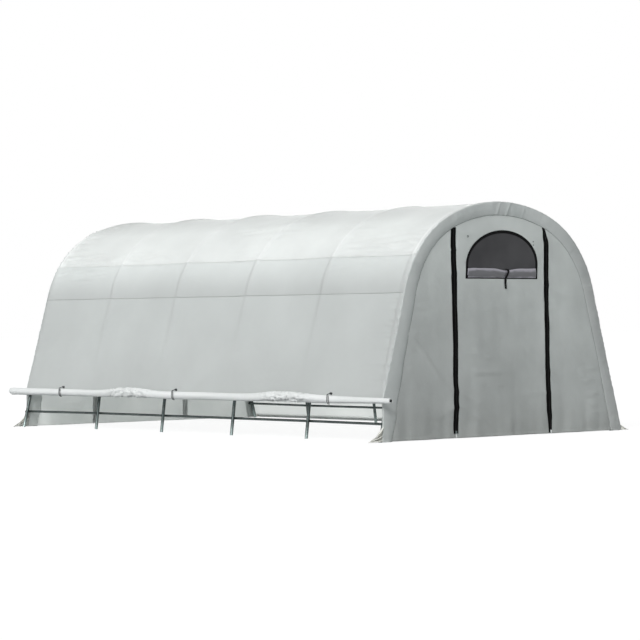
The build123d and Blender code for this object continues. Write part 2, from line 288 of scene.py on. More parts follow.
def galvanisedSteel():
    # Hot-dip galvanised steel tube: a grey zinc skin with faint spangle and duller patches
    look = {"bright": "#5f6766", "dull": "#3b4241", "spangleSize": 0.012, "roughness": 0.36,
            "feet": 3.2, "paintedLightFrom": 0.02, "paintedLightTo": 0.13}
    material, tree = newMaterial("galvanisedSteelTube")
    place = addNode(tree, "ShaderNodeTexCoord").outputs["Object"]
    spangle = addNode(tree, "ShaderNodeTexVoronoi", {"Scale": 1 / look["spangleSize"]}, {"Vector": place})
    patches = addNode(tree, "ShaderNodeTexNoise", {"Scale": 7.0, "Detail": 5.0},
                      {"Vector": place}).outputs["Fac"]
    grey = addNode(tree, "ShaderNodeSeparateColor", {}, {"Color": spangle.outputs["Color"]}).outputs["Red"]
    blend = addNode(tree, "ShaderNodeMath", {"operation": "MULTIPLY_ADD", 1: 0.3},
                    {0: grey, 2: patches}).outputs[0]
    colour = addNode(tree, "ShaderNodeValToRGB", {"stops": [(0.35, look["dull"]), (0.9, look["bright"])]},
                     {"Fac": blend}).outputs["Color"]
    # painted light: near the ground the colour is scaled up to 3.2 times, easing back to the plain colour by
    # 0.13 m, for the bright light on the legs' feet
    height = addNode(tree, "ShaderNodeSeparateXYZ", {}, {"Vector": place}).outputs["Z"]
    paintedFootLight = addNode(tree, "ShaderNodeMapRange",
                    {"From Min": look["paintedLightFrom"], "From Max": look["paintedLightTo"], "To Min": look["feet"],
                     "To Max": 1.0}, {"Value": height}).outputs["Result"]
    colour = addNode(tree, "ShaderNodeVectorMath", {"operation": "SCALE"},
                     {0: colour, "Scale": paintedFootLight}).outputs[0]
    rough = addNode(tree, "ShaderNodeMapRange",
                    {"To Min": look["roughness"] - 0.08, "To Max": look["roughness"] + 0.14},
                    {"Value": patches}).outputs["Result"]
    bump = addNode(tree, "ShaderNodeBump", {"Strength": 0.15, "Distance": 0.0004},
                   {"Height": grey}).outputs["Normal"]
    body = addNode(tree, "ShaderNodeBsdfPrincipled", {"Metallic": 1.0},
                   {"Base Color": colour, "Roughness": rough, "Normal": bump}).outputs[0]
    addNode(tree, "ShaderNodeOutputMaterial", {}, {"Surface": body})
    return material


def wovenBlack(name, look):
    # Dyed nylon or polyester tape: a tight ribbed weave, matt, with a little dust in the ribs
    material, tree = newMaterial(name)
    sewn = addNode(tree, "ShaderNodeUVMap", {"uv_map": "cloth"}).outputs["UV"]
    place = addNode(tree, "ShaderNodeTexCoord").outputs["Object"]
    ribs = addNode(tree, "ShaderNodeTexWave",
                   {"Scale": 0.5 / look["rib"], "Distortion": 0.4, "bands_direction": look["direction"]},
                   {"Vector": sewn}).outputs["Fac"]
    dust = addNode(tree, "ShaderNodeTexNoise", {"Scale": 14.0, "Detail": 5.0}, {"Vector": place}).outputs["Fac"]
    both = addNode(tree, "ShaderNodeMath", {"operation": "MULTIPLY"}, {0: ribs, 1: dust}).outputs[0]
    colour = addNode(tree, "ShaderNodeValToRGB", {"stops": [(0.1, look["colour"]), (0.75, look["worn"])]},
                     {"Fac": both}).outputs["Color"]
    bump = addNode(tree, "ShaderNodeBump", {"Strength": 0.5, "Distance": look["rib"] / 4},
                   {"Height": ribs}).outputs[0]
    body = addNode(tree, "ShaderNodeBsdfPrincipled",
                   {"Roughness": look["roughness"], "Specular IOR Level": 0.06},
                   {"Base Color": colour, "Normal": bump}).outputs[0]
    addNode(tree, "ShaderNodeOutputMaterial", {}, {"Surface": body})
    return material


def netting():
    # Polyester insect netting: fine charcoal threads crossing at right angles, seen as an even dark grey
    look = {"thread": "#4c4c4e", "gap": "#363638", "pitch": 0.008, "roughness": 0.75}
    material, tree = newMaterial("polyesterInsectNetting")
    place = addNode(tree, "ShaderNodeTexCoord").outputs["Object"]
    # threads 1 mm apart are too fine to show, so they are drawn at eight times that
    upright, level = (addNode(tree, "ShaderNodeTexWave", {"Scale": 0.5 / look["pitch"], "bands_direction": way},
                              {"Vector": place}).outputs["Fac"] for way in ("X", "Z"))
    weave = addNode(tree, "ShaderNodeMath", {"operation": "MAXIMUM"}, {0: upright, 1: level}).outputs[0]
    cloud = addNode(tree, "ShaderNodeTexNoise", {"Scale": 3.0, "Detail": 2.0}, {"Vector": place}).outputs["Fac"]
    both = addNode(tree, "ShaderNodeMath", {"operation": "MULTIPLY"}, {0: weave, 1: cloud}).outputs[0]
    colour = addNode(tree, "ShaderNodeValToRGB", {"stops": [(0.15, look["gap"]), (0.6, look["thread"])]},
                     {"Fac": both}).outputs["Color"]
    bump = addNode(tree, "ShaderNodeBump", {"Strength": 0.4, "Distance": 0.0006}, {"Height": weave}).outputs[0]
    body = addNode(tree, "ShaderNodeBsdfPrincipled",
                   {"Roughness": look["roughness"], "Specular IOR Level": 0.25},
                   {"Base Color": colour, "Normal": bump}).outputs[0]
    addNode(tree, "ShaderNodeOutputMaterial", {}, {"Surface": body})
    return material


def clearFilm():
    # Calendered clear vinyl, rolled down: a glossy grey film over the netting, with a painted highlight where
    # it is paler towards its rolled top edge
    look = {"colour": "#67686c", "crease": "#a3a1aa", "roughness": 0.30, "solid": 0.82}
    material, tree = newMaterial("clearVinylFilm")
    place = addNode(tree, "ShaderNodeTexCoord").outputs["Object"]
    sewn = addNode(tree, "ShaderNodeUVMap", {"uv_map": "cloth"}).outputs["UV"]
    height = addNode(tree, "ShaderNodeSeparateXYZ", {}, {"Vector": sewn}).outputs["Y"]
    streak = addNode(tree, "ShaderNodeMapping", {"Scale": (3.0, 1.0, 9.0)}, {"Vector": place}).outputs[0]
    folds = addNode(tree, "ShaderNodeTexNoise", {"Scale": 2.0, "Detail": 3.0},
                    {"Vector": streak}).outputs["Fac"]
    highlightHeight = addNode(tree, "ShaderNodeMath", {"operation": "MULTIPLY_ADD", 1: 0.06},
                   {0: folds, 2: height}).outputs[0]
    # painted highlight: the 'crease' colour makes the film paler towards its rolled top edge, and here and
    # there at its foot
    colour = addNode(tree, "ShaderNodeValToRGB",
                     {"stops": [(0.03, look["crease"]), (0.045, look["colour"]), (0.095, look["colour"]),
                                (0.118, look["crease"])]}, {"Fac": highlightHeight}).outputs["Color"]
    bump = addNode(tree, "ShaderNodeBump", {"Strength": 0.4, "Distance": 0.002}, {"Height": folds}).outputs[0]
    body = addNode(tree, "ShaderNodeBsdfPrincipled",
                   {"Roughness": look["roughness"], "Coat Weight": 0.2, "Alpha": look["solid"]},
                   {"Base Color": colour, "Normal": bump}).outputs[0]
    addNode(tree, "ShaderNodeOutputMaterial", {}, {"Surface": body})
    return material


def plainFinish(name, colour, shade, grain, roughness):
    # Thread, elastic cord and moulded fittings: one colour with a slight mottle and grain
    material, tree = newMaterial(name)
    place = addNode(tree, "ShaderNodeTexCoord").outputs["Object"]
    mottle = addNode(tree, "ShaderNodeTexNoise", {"Scale": 1 / grain, "Detail": 3.0},
                     {"Vector": place}).outputs["Fac"]
    tint = addNode(tree, "ShaderNodeValToRGB", {"stops": [(0.3, shade), (0.7, colour)]},
                   {"Fac": mottle}).outputs["Color"]
    bump = addNode(tree, "ShaderNodeBump", {"Strength": 0.4, "Distance": grain / 3},
                   {"Height": mottle}).outputs[0]
    body = addNode(tree, "ShaderNodeBsdfPrincipled", {"Roughness": roughness},
                   {"Base Color": tint, "Normal": bump}).outputs[0]
    addNode(tree, "ShaderNodeOutputMaterial", {}, {"Surface": body})
    return material


zinc = galvanisedSteel()
zipTape = wovenBlack("nylonZipTape", {"rib": 0.003, "direction": "Y", "colour": "#020202", "worn": "#0a0a0a",
                                      "roughness": 0.8})
bindingTape = wovenBlack("polyesterBindingTape", {"rib": 0.002, "direction": "X", "colour": "#0b0b0c",
                                                  "worn": "#1d1d1f", "roughness": 0.75})
webbing = wovenBlack("polyesterWebbing", {"rib": 0.004, "direction": "Y", "colour": "#08080a",
                                          "worn": "#1a1a1c", "roughness": 0.7})
net = netting()
film = clearFilm()
# colour, shade, size of the grain and roughness
thread = plainFinish("polyesterThread", "#eceeee", "#dfe2e2", 0.002, 0.6)
# the band's seam, sewn in grey thread drawn as an unbroken line 4 mm wide: a painted shadow where the band
# folds in to the end wall
seamShadowThread = plainFinish("paintedSeamShadowThread", "#6b706f", "#4d5251", 0.002, 0.6)
zipCoil = plainFinish("mouldedNylonCoil", "#0c0c0c", "#040404", 0.003, 0.4)
elastic = plainFinish("coveredElasticCord", "#4a4e50", "#26292b", 0.003, 0.65)
toggle = plainFinish("mouldedPolypropyleneBall", "#3c4042", "#2a2d2f", 0.004, 0.45)
print("materials made")


def placed(name, data):
    item = bpy.data.objects.new(name, data)
    bpy.context.collection.objects.link(item)
    return item


# Camera and light

view = {"position": (-18.2746, -21.0141, 1.19379), "yaw": 0.722136, "pitch": 0.00116499, "roll": -0.0083576,
        "lens": 138.3294375, "sensor": 36.0, "farthest": 400.0}
ahead = Vector((math.sin(view["yaw"]) * math.cos(view["pitch"]),
                math.cos(view["yaw"]) * math.cos(view["pitch"]), math.sin(view["pitch"])))
levelRight = Vector((math.cos(view["yaw"]), -math.sin(view["yaw"]), 0.0))
levelUp = levelRight.cross(ahead)
rightWay = levelRight * math.cos(view["roll"]) + levelUp * math.sin(view["roll"])
upWay = rightWay.cross(ahead)
lens = bpy.data.cameras.new("camera")
lens.sensor_width = view["sensor"]
lens.lens = view["lens"]
lens.clip_end = view["farthest"]
camera = placed("camera", lens)
camera.matrix_world = Matrix((
    (rightWay.x, upWay.x, -ahead.x, view["position"][0]),
    (rightWay.y, upWay.y, -ahead.y, view["position"][1]),
    (rightWay.z, upWay.z, -ahead.z, view["position"][2]),
    (0, 0, 0, 1)))
bpy.context.scene.camera = camera
bpy.context.scene.view_settings.view_transform = "Standard"

studio = {"sky": 0.28, "floorPale": "#d8dada", "floorDark": "#b9bbbc", "floorWhite": 1.12, "shadowShare": 0.20,
          "sun": 3.1, "sunSpread": 30.0, "sunFrom": (-0.76, -0.38, 0.53),
          "fill": 2.2, "fillSpread": 50.0, "fillFrom": (0.86, 0.47, 0.20)}


def seenByEye(tree):
    # 1 for camera, mirror and glass rays, 0 for every other ray
    path = addNode(tree, "ShaderNodeLightPath").outputs
    seen = path["Is Camera Ray"]
    for ray in ("Is Glossy Ray", "Is Transmission Ray"):
        seen = addNode(tree, "ShaderNodeMath", {"operation": "MAXIMUM"}, {0: seen, 1: path[ray]}).outputs[0]
    return seen


world = bpy.data.worlds.new("sky")
bpy.context.scene.world = world
world.use_nodes = True
skyTree = world.node_tree
skyTree.nodes.clear()
sky = addNode(skyTree, "ShaderNodeBackground",
              {"Color": (0.98, 1.0, 1.0, 1), "Strength": studio["sky"]}).outputs[0]
white = addNode(skyTree, "ShaderNodeBackground", {"Color": (1, 1, 1, 1), "Strength": 1.0}).outputs[0]
shown = addNode(skyTree, "ShaderNodeMixShader", {}, {0: seenByEye(skyTree), 1: sky, 2: white}).outputs[0]
addNode(skyTree, "ShaderNodeOutputWorld", {}, {"Surface": shown})

# the eye sees a floor that is white where it is open and keeps a soft shadow; other rays meet a darker floor
floorMaterial, floorTree = newMaterial("paleFloor")
dark, pale = (addNode(floorTree, "ShaderNodeBsdfDiffuse", {"Color": linear(studio[tone])}).outputs[0]
              for tone in ("floorDark", "floorPale"))
glow = addNode(floorTree, "ShaderNodeEmission",
               {"Color": (1, 1, 1, 1), "Strength": studio["floorWhite"]}).outputs[0]
openFloor = addNode(floorTree, "ShaderNodeMixShader", {0: studio["shadowShare"]}, {1: glow, 2: pale}).outputs[0]
shown = addNode(floorTree, "ShaderNodeMixShader", {},
                {0: seenByEye(floorTree), 1: dark, 2: openFloor}).outputs[0]
addNode(floorTree, "ShaderNodeOutputMaterial", {}, {"Surface": shown})
floorMesh = bpy.data.meshes.new("floor")
floorMesh.from_pydata([(-150, -150, 0), (150, -150, 0), (150, 150, 0), (-150, 150, 0)], [], [(0, 1, 2, 3)])
floorMesh.materials.append(floorMaterial)
floorMesh.shade_flat()
floor = placed("floor", floorMesh)
floor.location.z = -0.001  # just under the feet

for name in ("sun", "fill"):
    lamp = bpy.data.lights.new(name, "SUN")
    lamp.energy = studio[name]
    lamp.angle = math.radians(studio[f"{name}Spread"])
    light = placed(name, lamp)
    light.rotation_euler = Vector(studio[f"{name}From"]).to_track_quat("Z", "Y").to_euler()
print("camera and light set")


# Making pieces

def standing(piece, slotName, *nodes):
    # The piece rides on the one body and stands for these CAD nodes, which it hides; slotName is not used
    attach(piece, "root")
    if nodes:
        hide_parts(*nodes)
    return piece


def meshPiece(name, points, faces, material, places=None, thickness=0.0):
    # Joins points and faces into an object at the origin; places are each point's flat cloth coordinates
    mesh = bpy.data.meshes.new(name)
    mesh.from_pydata(points, [], faces)
    if places:
        layer = mesh.uv_layers.new(name="cloth")
        for loop in mesh.loops:
            layer.data[loop.index].uv = places[loop.vertex_index]
    mesh.materials.append(material)
    mesh.shade_smooth()
    piece = placed(name, mesh)
    if thickness:
        wall = piece.modifiers.new("thickness", "SOLIDIFY")
        wall.thickness = thickness
        wall.offset = -1
        wall.use_rim = True
    return piece


def gridPiece(name, rows, columns, pointAt, placeAt, material, thickness=0.0, ring=False, outward=True):
    # A sheet laid out in rows and columns; pointAt gives a point for shares from 0 to 1 down and across
    points, places, faces = [], [], []
    across = columns if ring else columns + 1
    for row in range(rows + 1):
        for column in range(across):
            points.append(pointAt(row / rows, column / columns))
            places.append(placeAt(row / rows, column / columns))
    for row in range(rows):
        for column in range(columns):
            one, two = row * across + column, row * across + (column + 1) % across
            corners = (one, two, two + across, one + across)
            faces.append(corners if outward else corners[::-1])
    return meshPiece(name, points, faces, material, places, thickness)


def settled(piece):
    # Turns the modifiers' result into the piece's own plain mesh
    bpy.context.view_layer.update()
    shown = piece.evaluated_get(bpy.context.evaluated_depsgraph_get())
    mesh = bpy.data.meshes.new_from_object(shown)
    piece.modifiers.clear()
    piece.data = mesh
    return piece


# The cover: one cloth over the ribs, drawn down a little between them

cover = {"roofSag": 0.015, "sideSag": 0.005, "deepest": 0.032, "inset": 0.0016,
         "roofDrop": 0.0105, "sideDrop": 0.0040, "dropReach": 0.032,
         "roofFold": 0.0330, "seamFold": 0.0170, "diagonalFold": 0.0070,
         "roofRipple": 0.0036, "sideRipple": 0.0016, "crumple": 0.0010,
         "edgePucker": 0.0340, "edgeReach": 0.090, "rearEdge": 0.3, "edgePast": 0.038,
         "lap": 0.002, "lapRise": 0.0005, "lapWidth": 0.05,
         "seamPucker": 0.0014, "seamRidge": 0.0008, "seamWidth": 0.040,
         "standOnTube": 0.003, "standMore": 0.009, "cell": 0.042, "across": 0.0145, "shadedAcross": 0.026}
upperRun, lowerRun = archRun(tunnel["upperSeam"]), archRun(tunnel["lowerSeam"])
coverFront, coverRear = frontRib - cover["edgePast"], rearRib + cover["edgePast"]

roll = {"height": 0.420, "radius": 0.044, "tipRadius": 0.027, "bulgeRadius": 0.061, "taper": 0.880,
        "rounding": 0.060, "roundness": 0.95, "bulgePlaces": (1.595, 4.250), "bulgeSpread": 0.700,
        "seatGap": 0.0003, "turns": 2.3, "pipeRadius": 0.0146, "clothWidth": 0.46, "narrowness": 4.0}
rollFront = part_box("side_roll_left")[0].y
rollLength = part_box("side_roll_left")[1].y - rollFront
rollRun = (roll["height"] - (roll["radius"] + roll["seatGap"]) * math.sin(lean)) / math.cos(lean)


def rollBulge(distance):
    for place in roll["bulgePlaces"]:
        if abs(distance - place) < roll["bulgeSpread"]:
            share = math.cos(math.pi / 2 * (distance - place) / roll["bulgeSpread"]) ** 2
            return (roll["bulgeRadius"] - roll["radius"]) * share
    return 0.0


def rollRadius(distance):
    taper = (roll["radius"] - roll["tipRadius"]) * max(0.0, 1 - distance / roll["taper"])
    rounding = roll["roundness"] * max(0.0, 1 - (rollLength - distance) / roll["rounding"])
    return (roll["radius"] + rollBulge(distance) - taper) * math.sqrt(1 - rounding ** 2)


def rollCentre(distance):
    bulge = rollBulge(distance)
    (x, z), (outX, outZ) = archPoint(rollRun + bulge, -(roll["radius"] + roll["seatGap"] + bulge))
    return x, z


def bayShare(y):
    # 0 at a rib, 1 midway between two
    if y <= frontRib or y >= rearRib:
        return 0.0
    for one, two in zip(ribPlaces, ribPlaces[1:]):
        if one <= y <= two:
            share = (y - one) / (two - one)
            return 4 * share * (1 - share)
    return 0.0


def ribDistance(y):
    # Distance to the nearest rib, with the side of it the place is on
    return min((y - place for place in ribPlaces), key=abs)


def coverLift(along, y):
    # How far the cloth stands off its tight shape, outward
    run = min(along, archLength - along)
    side = -1 if along < archLength / 2 else 1
    level = archPoint(along)[0][1]
    roof = smooth(1.55, 2.05, level)
    # the front bay is drawn tighter than the rest
    sag = cover["roofSag"] * (1 - 0.6 * (y < ribPlaces[1]))
    lift = -bayShare(y) * (cover["sideSag"] + (sag - cover["sideSag"]) * roof)
    # the cloth bears on each tube and falls away on both sides of it, more sharply to the rear
    away = ribDistance(y)
    drop = cover["dropReach"] * (0.75 if away > 0 else 1.25)
    held = 1 - math.exp(-(away / drop) ** 2)
    low = smooth(0.9, 1.75, level)
    lift -= held * (cover["sideDrop"] * (0.30 + 0.70 * low) + (cover["roofDrop"] - cover["sideDrop"]) * roof)
    # long folds run from rib to rib over the roof, in patches and most of all towards the rear
    rearward = 0.40 + 0.60 * smooth(0.2, 0.9, (y - frontRib) / (rearRib - frontRib))
    patch = smooth(-0.12, 0.35, ripple(y * 0.9, along * 1.6, 6.7 + side)) * rearward
    folds = crease(y * 0.8 + side * along * 0.7, along * 13.0 - side * y * 1.4, 3.1 + side) - 0.30
    lift += folds * patch * held * cover["roofFold"] * roof * (1 - 0.5 * smooth(2.30, 2.43, level))
    lift += ripple(y * 1.4, along * 7.5, 8.4) * cover["roofRipple"] * roof * held
    # short wrinkles lie along the upper seam, where the roof's cloth is gathered a little
    gathered = math.exp(-((run - upperRun - 0.10) / 0.14) ** 2)
    gathered *= smooth(-0.05, 0.25, ripple(y * 1.1, side, 9.3))
    wrinkle = crease(y * 2.4 + along * 2.0, along * 15.0 + y * 0.8, 10.7 + side, 1.6) - 0.35
    lift += wrinkle * gathered * held * cover["seamFold"]
    # the sides hang nearly flat, with faint slanting folds
    patch = smooth(0.10, 0.45, ripple(y * 0.62 + 4.0, along * 0.8, 26.7 + side))
    turned = y * 0.52 - along * 0.85 * side
    slant = crease(turned * 3.0, (y + along) * 0.45, 12.5 + side, 2.4)
    lift += slant * patch * cover["diagonalFold"] * (1 - roof)
    lift += ripple(y * 2.6, along * 1.9, 15.0) * cover["sideRipple"] * (1 - roof) * held
    lift += ripple(y * 9.0, along * 15.0, 21.0) * cover["crumple"] * (0.5 + roof)
    # the bands pull tufts in the cover's ends, fewer at the rear
    edge = min(y - coverFront, coverRear - y)
    pulled = math.exp(-max(0.0, edge) / cover["edgeReach"])
    strength = 0.30 + 0.70 * smooth(0.3, 0.55, level) * (1 - smooth(1.2, 1.6, level))
    strength *= (0.75 + 0.25 * ripple(along * 1.7, 0.0, 31.0 + (y > 0))) * (cover["rearEdge"] if y > 0 else 1.0)
    tuft = crease(along * 15.0, y * 1.2, 41.0 + (y > 0), 1.8) - 0.70
    lift += tuft * pulled * cover["edgePucker"] * strength
    for seam in (upperRun, lowerRun):
        near = math.exp(-((run - seam) / cover["seamWidth"]) ** 2)
        ridge = cover["seamRidge"] * (seam == upperRun)
        lift += near * (cover["seamPucker"] * ripple(y * 9.0, seam, 51.0) + ridge)
    # it is held at both feet
    if side < 0:
        lift *= smooth(rollRun - 0.02, rollRun + 0.30, along) * 0.9 + 0.1
    else:
        lift *= 0.35 + 0.65 * smooth(0.02, 0.5, run)
    # it clears the purlins, and bears on the tubes
    if lift > 0:
        return min(lift, cover["standOnTube"] + cover["standMore"] * smooth(0.02, 0.12, edge))
    return max(lift, -cover["deepest"]) * smooth(0.010, 0.032, abs(away))


def rowPlaces():
    # Places along the tunnel for the cover's rows: even between the ribs and closer beside each tube
    close = (0.006, 0.013, 0.021, 0.031, 0.044, 0.060)
    places = {coverFront, coverRear}
    for place in ribPlaces:
        places |= {place} | {place + way * step for way in (-1, 1) for step in close}
    for one, two in zip(ribPlaces, ribPlaces[1:]):
        clear = two - one - 2 * close[-1]
        count = round(clear / cover["cell"])
        places |= {one + close[-1] + clear * step / count for step in range(1, count)}
    for step in (0.075, 0.090, 0.110, 0.155):  # the puckered ends have more rows
        places |= {frontRib + step, rearRib - step}
    return sorted(place for place in places if coverFront <= place <= coverRear)


coverRows = rowPlaces()


def coverPoint(along, y, raised=0.0):
    (x, z), (outX, outZ) = archPoint(along)
    lift = coverLift(along, y) + raised - cover["inset"]
    return (x + outX * lift, y, z + outZ * lift)


def coverSheet(name, node, fromRun, toRun, material, laps=(False, False), cell=cover["across"]):
    # One strip of the cover between two runs along the arch; a lap stands proud over the next strip down
    def runAt(down, y):
        start = fromRun(y) if callable(fromRun) else fromRun
        return start + (toRun - start) * down

    def rowAt(share):
        return coverRows[round(share * (len(coverRows) - 1))]

    def pointAt(share, down):
        y = rowAt(share)
        along = runAt(down, y)
        raised = 0.0
        for lapped, inward in zip(laps, (along - runAt(0, y), toRun - along)):
            if lapped:
                raised += cover["lapRise"] * (1 - smooth(0.0, cover["lapWidth"], inward))
        return coverPoint(along, y, raised)

    length = toRun - (fromRun(0.0) if callable(fromRun) else fromRun)
    piece = gridPiece(name, len(coverRows) - 1, max(6, round(length / cell)), pointAt,
                      lambda share, down: (rowAt(share), runAt(down, rowAt(share))), material,
                      tunnel["clothThickness"])
    standing(piece, "cover_fabric", node)


def leftFoot(y):
    # The cover's left side comes down to the roll
    return rollRun + rollBulge(y - rollFront)


lap = cover["lap"]
pocketRun = 0.036  # from the closed side's foot to the top of its hem pocket
coverSheet("coverSideLeft", "cover_side_left", leftFoot, lowerRun, cloths["Side"])
coverSheet("coverShoulderLeft", "cover_shoulder_left", lowerRun - lap, upperRun, cloths["Shoulder"],
           (True, False))
coverSheet("coverRoof", "cover_roof", upperRun - lap, archLength - upperRun + lap, cloths["RoofWithPaintedLight"],
           (True, True))
coverSheet("coverShoulderRight", "cover_shoulder_right", archLength - upperRun, archLength - lowerRun + lap,
           cloths["Shoulder"], (False, True))
# the closed side takes the paler copy of the side's cloth, painted light
coverSheet("coverSideRight", "cover_side_right", archLength - lowerRun, archLength - pocketRun,
           cloths["ShadedSidePaintedLight"], cell=cover["shadedAcross"])
print("cover made")

# The roll: the cover's loose lower part wound up on its pipe, bunched where hands gathered it


def rollPoint(share, turnShare):
    distance = rollLength * share
    turn = turnShare * roll["turns"] * 2 * math.pi
    radius = rollRadius(distance)
    centreX, centreZ = rollCentre(distance)
    bulge = rollBulge(distance) / (roll["bulgeRadius"] - roll["radius"])
    inner = min(roll["pipeRadius"], radius * 0.6)
    around = turn % (2 * math.pi)
    free = math.sin(around / 2) ** 0.7 if 0 < around < 2 * math.pi else 0.0
    narrow = roll["narrowness"]
    # long soft folds everywhere, slanting creases here and there, and hard crumples on the bunches
    size = 1 + free * ripple(distance * 1.1 + around * 0.5, around * 1.4, 61.0) * 0.13 * (1 - 0.3 * bulge)
    patch = smooth(0.08, 0.32, ripple(distance * 1.3, 0.0, 63.0)) * (1 - bulge)
    size -= free * patch * crease(distance * 13.0 + around * 1.0, around * 0.4, 64.0, 2.5, narrow) * 0.26
    hard = smooth(0.10, 0.75, bulge) * free
    size -= hard * crease(distance * 17.0 + around * 0.6, around * 0.6, 67.0, 2.5, narrow) * 0.48
    size -= hard * crease(distance * 24.0 - around * 1.2, around * 0.8, 68.0, 2.5, narrow) * 0.30
    size += hard * (ripple(distance * 9.0, around * 2.0, 69.0) * 0.20 + 0.05)
    # small folds hang beneath both ends
    tip = max(1 - smooth(0.0, 0.30, distance), 0.7 * (1 - smooth(0.0, 0.40, rollLength - distance)))
    under = max(0.0, math.sin(around - 0.3))
    size += free * tip * under * (ripple(distance * 26.0, around * 2.4, 71.0) * 0.38 + 0.05)
    spread = (inner + (radius - inner) * (1 - turnShare) ** 0.8) * (size if turnShare < 0.999 else 1.0)
    outX, outZ = -math.cos(lean), math.sin(lean)
    downX, downZ = -math.sin(lean), -math.cos(lean)
    x = centreX + spread * (-outX * math.cos(turn) + downX * math.sin(turn))
    z = centreZ + spread * (-outZ * math.cos(turn) + downZ * math.sin(turn))
    return (x, rollFront + distance, z)


rollPiece = gridPiece("sideRollLeft", 440, 76, rollPoint,
                      lambda share, turn: (share * rollLength, turn * roll["clothWidth"]), cloths["Rolled"],
                      tunnel["clothThickness"], outward=False)
standing(rollPiece, "roll_fabric", "side_roll_left")
print("roll made")

# Bands: the cover's ends drawn round the end ribs and sewn to the end walls

# widths are shares of the drafted band, given for distances along the arch from the open side's foot and from
# the closed side's; under the roll the open side's edge hangs free and swings in
band = {"pucker": 0.0050, "cell": 0.0125, "swing": 0.127, "swingTop": 0.45, "deepest": 0.050, "nearest": 0.012,
        "foot": 0.015, "columns": 20, "clothWidth": 0.2,
        "openWidths": [(0.0, 0.92), (0.10, 1.09), (0.31, 1.45), (0.44, 1.55), (0.62, 1.55), (0.94, 1.42),
                       (1.35, 1.35), (1.70, 1.25), (2.20, 1.10), (2.90, 1.04)],
        "closedWidths": [(0.0, 1.10), (0.30, 1.00), (0.94, 0.92), (1.35, 0.95), (2.20, 1.00), (2.90, 1.04)]}
# inset from the cover's outer face and distance outside the end rib's middle, from the cover's edge to the seam
bandProfile = [(0.0, cover["edgePast"]), (0.0008, 0.0425), (0.0040, 0.0453), (0.012, 0.0460), (0.026, 0.0462),
               (0.050, 0.0455), (0.076, 0.0430), (0.101, 0.0380), (0.122, 0.0320), (0.135, 0.0262),
               (0.140, 0.0225)]


def bandScale(along):
    if along < archLength / 2:
        return between(band["openWidths"], along)
    return between(band["closedWidths"], archLength - along)


def footSwing(level, side):
    # How far the free edge of the open side has swung in at this height
    return band["swing"] * max(0.0, 1 - level / band["swingTop"]) if side < 0 else 0.0


def onProfile(share):
    # A point on the band's section, on a smooth curve through the listed points
    place = share * (len(bandProfile) - 1)
    index = min(int(place), len(bandProfile) - 2)
    part = place - index
    before, one = bandProfile[max(0, index - 1)], bandProfile[index]
    two, after = bandProfile[index + 1], bandProfile[min(len(bandProfile) - 1, index + 2)]
    return tuple(0.5 * (2 * one[k] + (two[k] - before[k]) * part
                        + (2 * before[k] - 5 * one[k] + 4 * two[k] - after[k]) * part ** 2
                        + (3 * one[k] - before[k] - 3 * two[k] + after[k]) * part ** 3) for k in (0, 1))


def bandPoint(along, share, facing):
    inset, depth = onProfile(share)
    run = min(along, archLength - along)
    foot = 1 - smooth(0.0, 0.34, run)
    (x, z), (outX, outZ) = archPoint(along)
    inset = inset * bandScale(along) + footSwing(z, x)
    edge = coverLift(along, endRib(facing) + facing * cover["edgePast"]) - cover["inset"]
    joined = 1 - smooth(0.0, 0.35, share)
    seed = 81.0 + facing
    # the cloth is gathered in tufts, and rumpled where it comes down to the ground
    gather = 0.45 + 0.9 * smooth(0.0, 0.5, ripple(along * 1.3, 0.0, seed + 7))
    tuft = (crease(along * 8.5 + share * 0.5, share * 0.8, seed, 1.7) - 0.35) * gather
    tuft += ripple(along * 22.0, share * 1.6, seed + 3) * 0.35
    swell = smooth(0.05, 0.4, share) * (1 - 0.55 * smooth(0.85, 1.0, share))
    depth += tuft * band["pucker"] * swell + ripple(along * 2.1, share, seed + 11) * 0.004 * swell
    inset += ripple(along * 11.0, share, seed + 5) * 0.0035 * smooth(0.8, 1.0, share)
    rumple = foot ** 2 * (ripple(along * 17.0, share * 5.0, seed + 9) * 0.016 + 0.004)
    depth += rumple * smooth(0.2, 0.6, share) * 0.8
    inset -= edge * joined
    inset = max(inset, -0.0125) + foot ** 3 * ripple(along * 26.0, share * 4.0, seed + 13) * 0.010 * share
    y = endRib(facing) + facing * max(band["nearest"], min(depth, band["deepest"]))
    low = max(0.003, z - outZ * inset)  # clear of the ground
    return (x - outX * inset, y, low)


for end, facing in tunnelEnds:
    length = archLength - 2 * band["foot"]
    piece = gridPiece(f"coverBand{end.title()}", round(length / band["cell"]), band["columns"],
                      lambda down, share: bandPoint(band["foot"] + length * down, share, facing),
                      lambda down, share: (share * band["clothWidth"], length * down), cloths["Band"],
                      tunnel["clothThickness"], outward=facing > 0)
    standing(piece, "band_fabric", f"cover_band_{end}")
print("bands made")

# End walls

door = {"halfWidth": 0.700, "gap": 0.0004, "top": 2.2}
window = {"halfWidth": 0.515, "upright": 0.130, "rise": 0.475, "drop": 0.315, "offset": 0.015,
          "skew": 0.028, "binding": 0.030, "bindingHeight": 0.0032, "bindingEdge": 0.0016, "count": 56}
sill = tunnel["height"] - window["drop"] - window["rise"]
springing = sill + window["upright"]
archRise = window["rise"] - window["upright"]
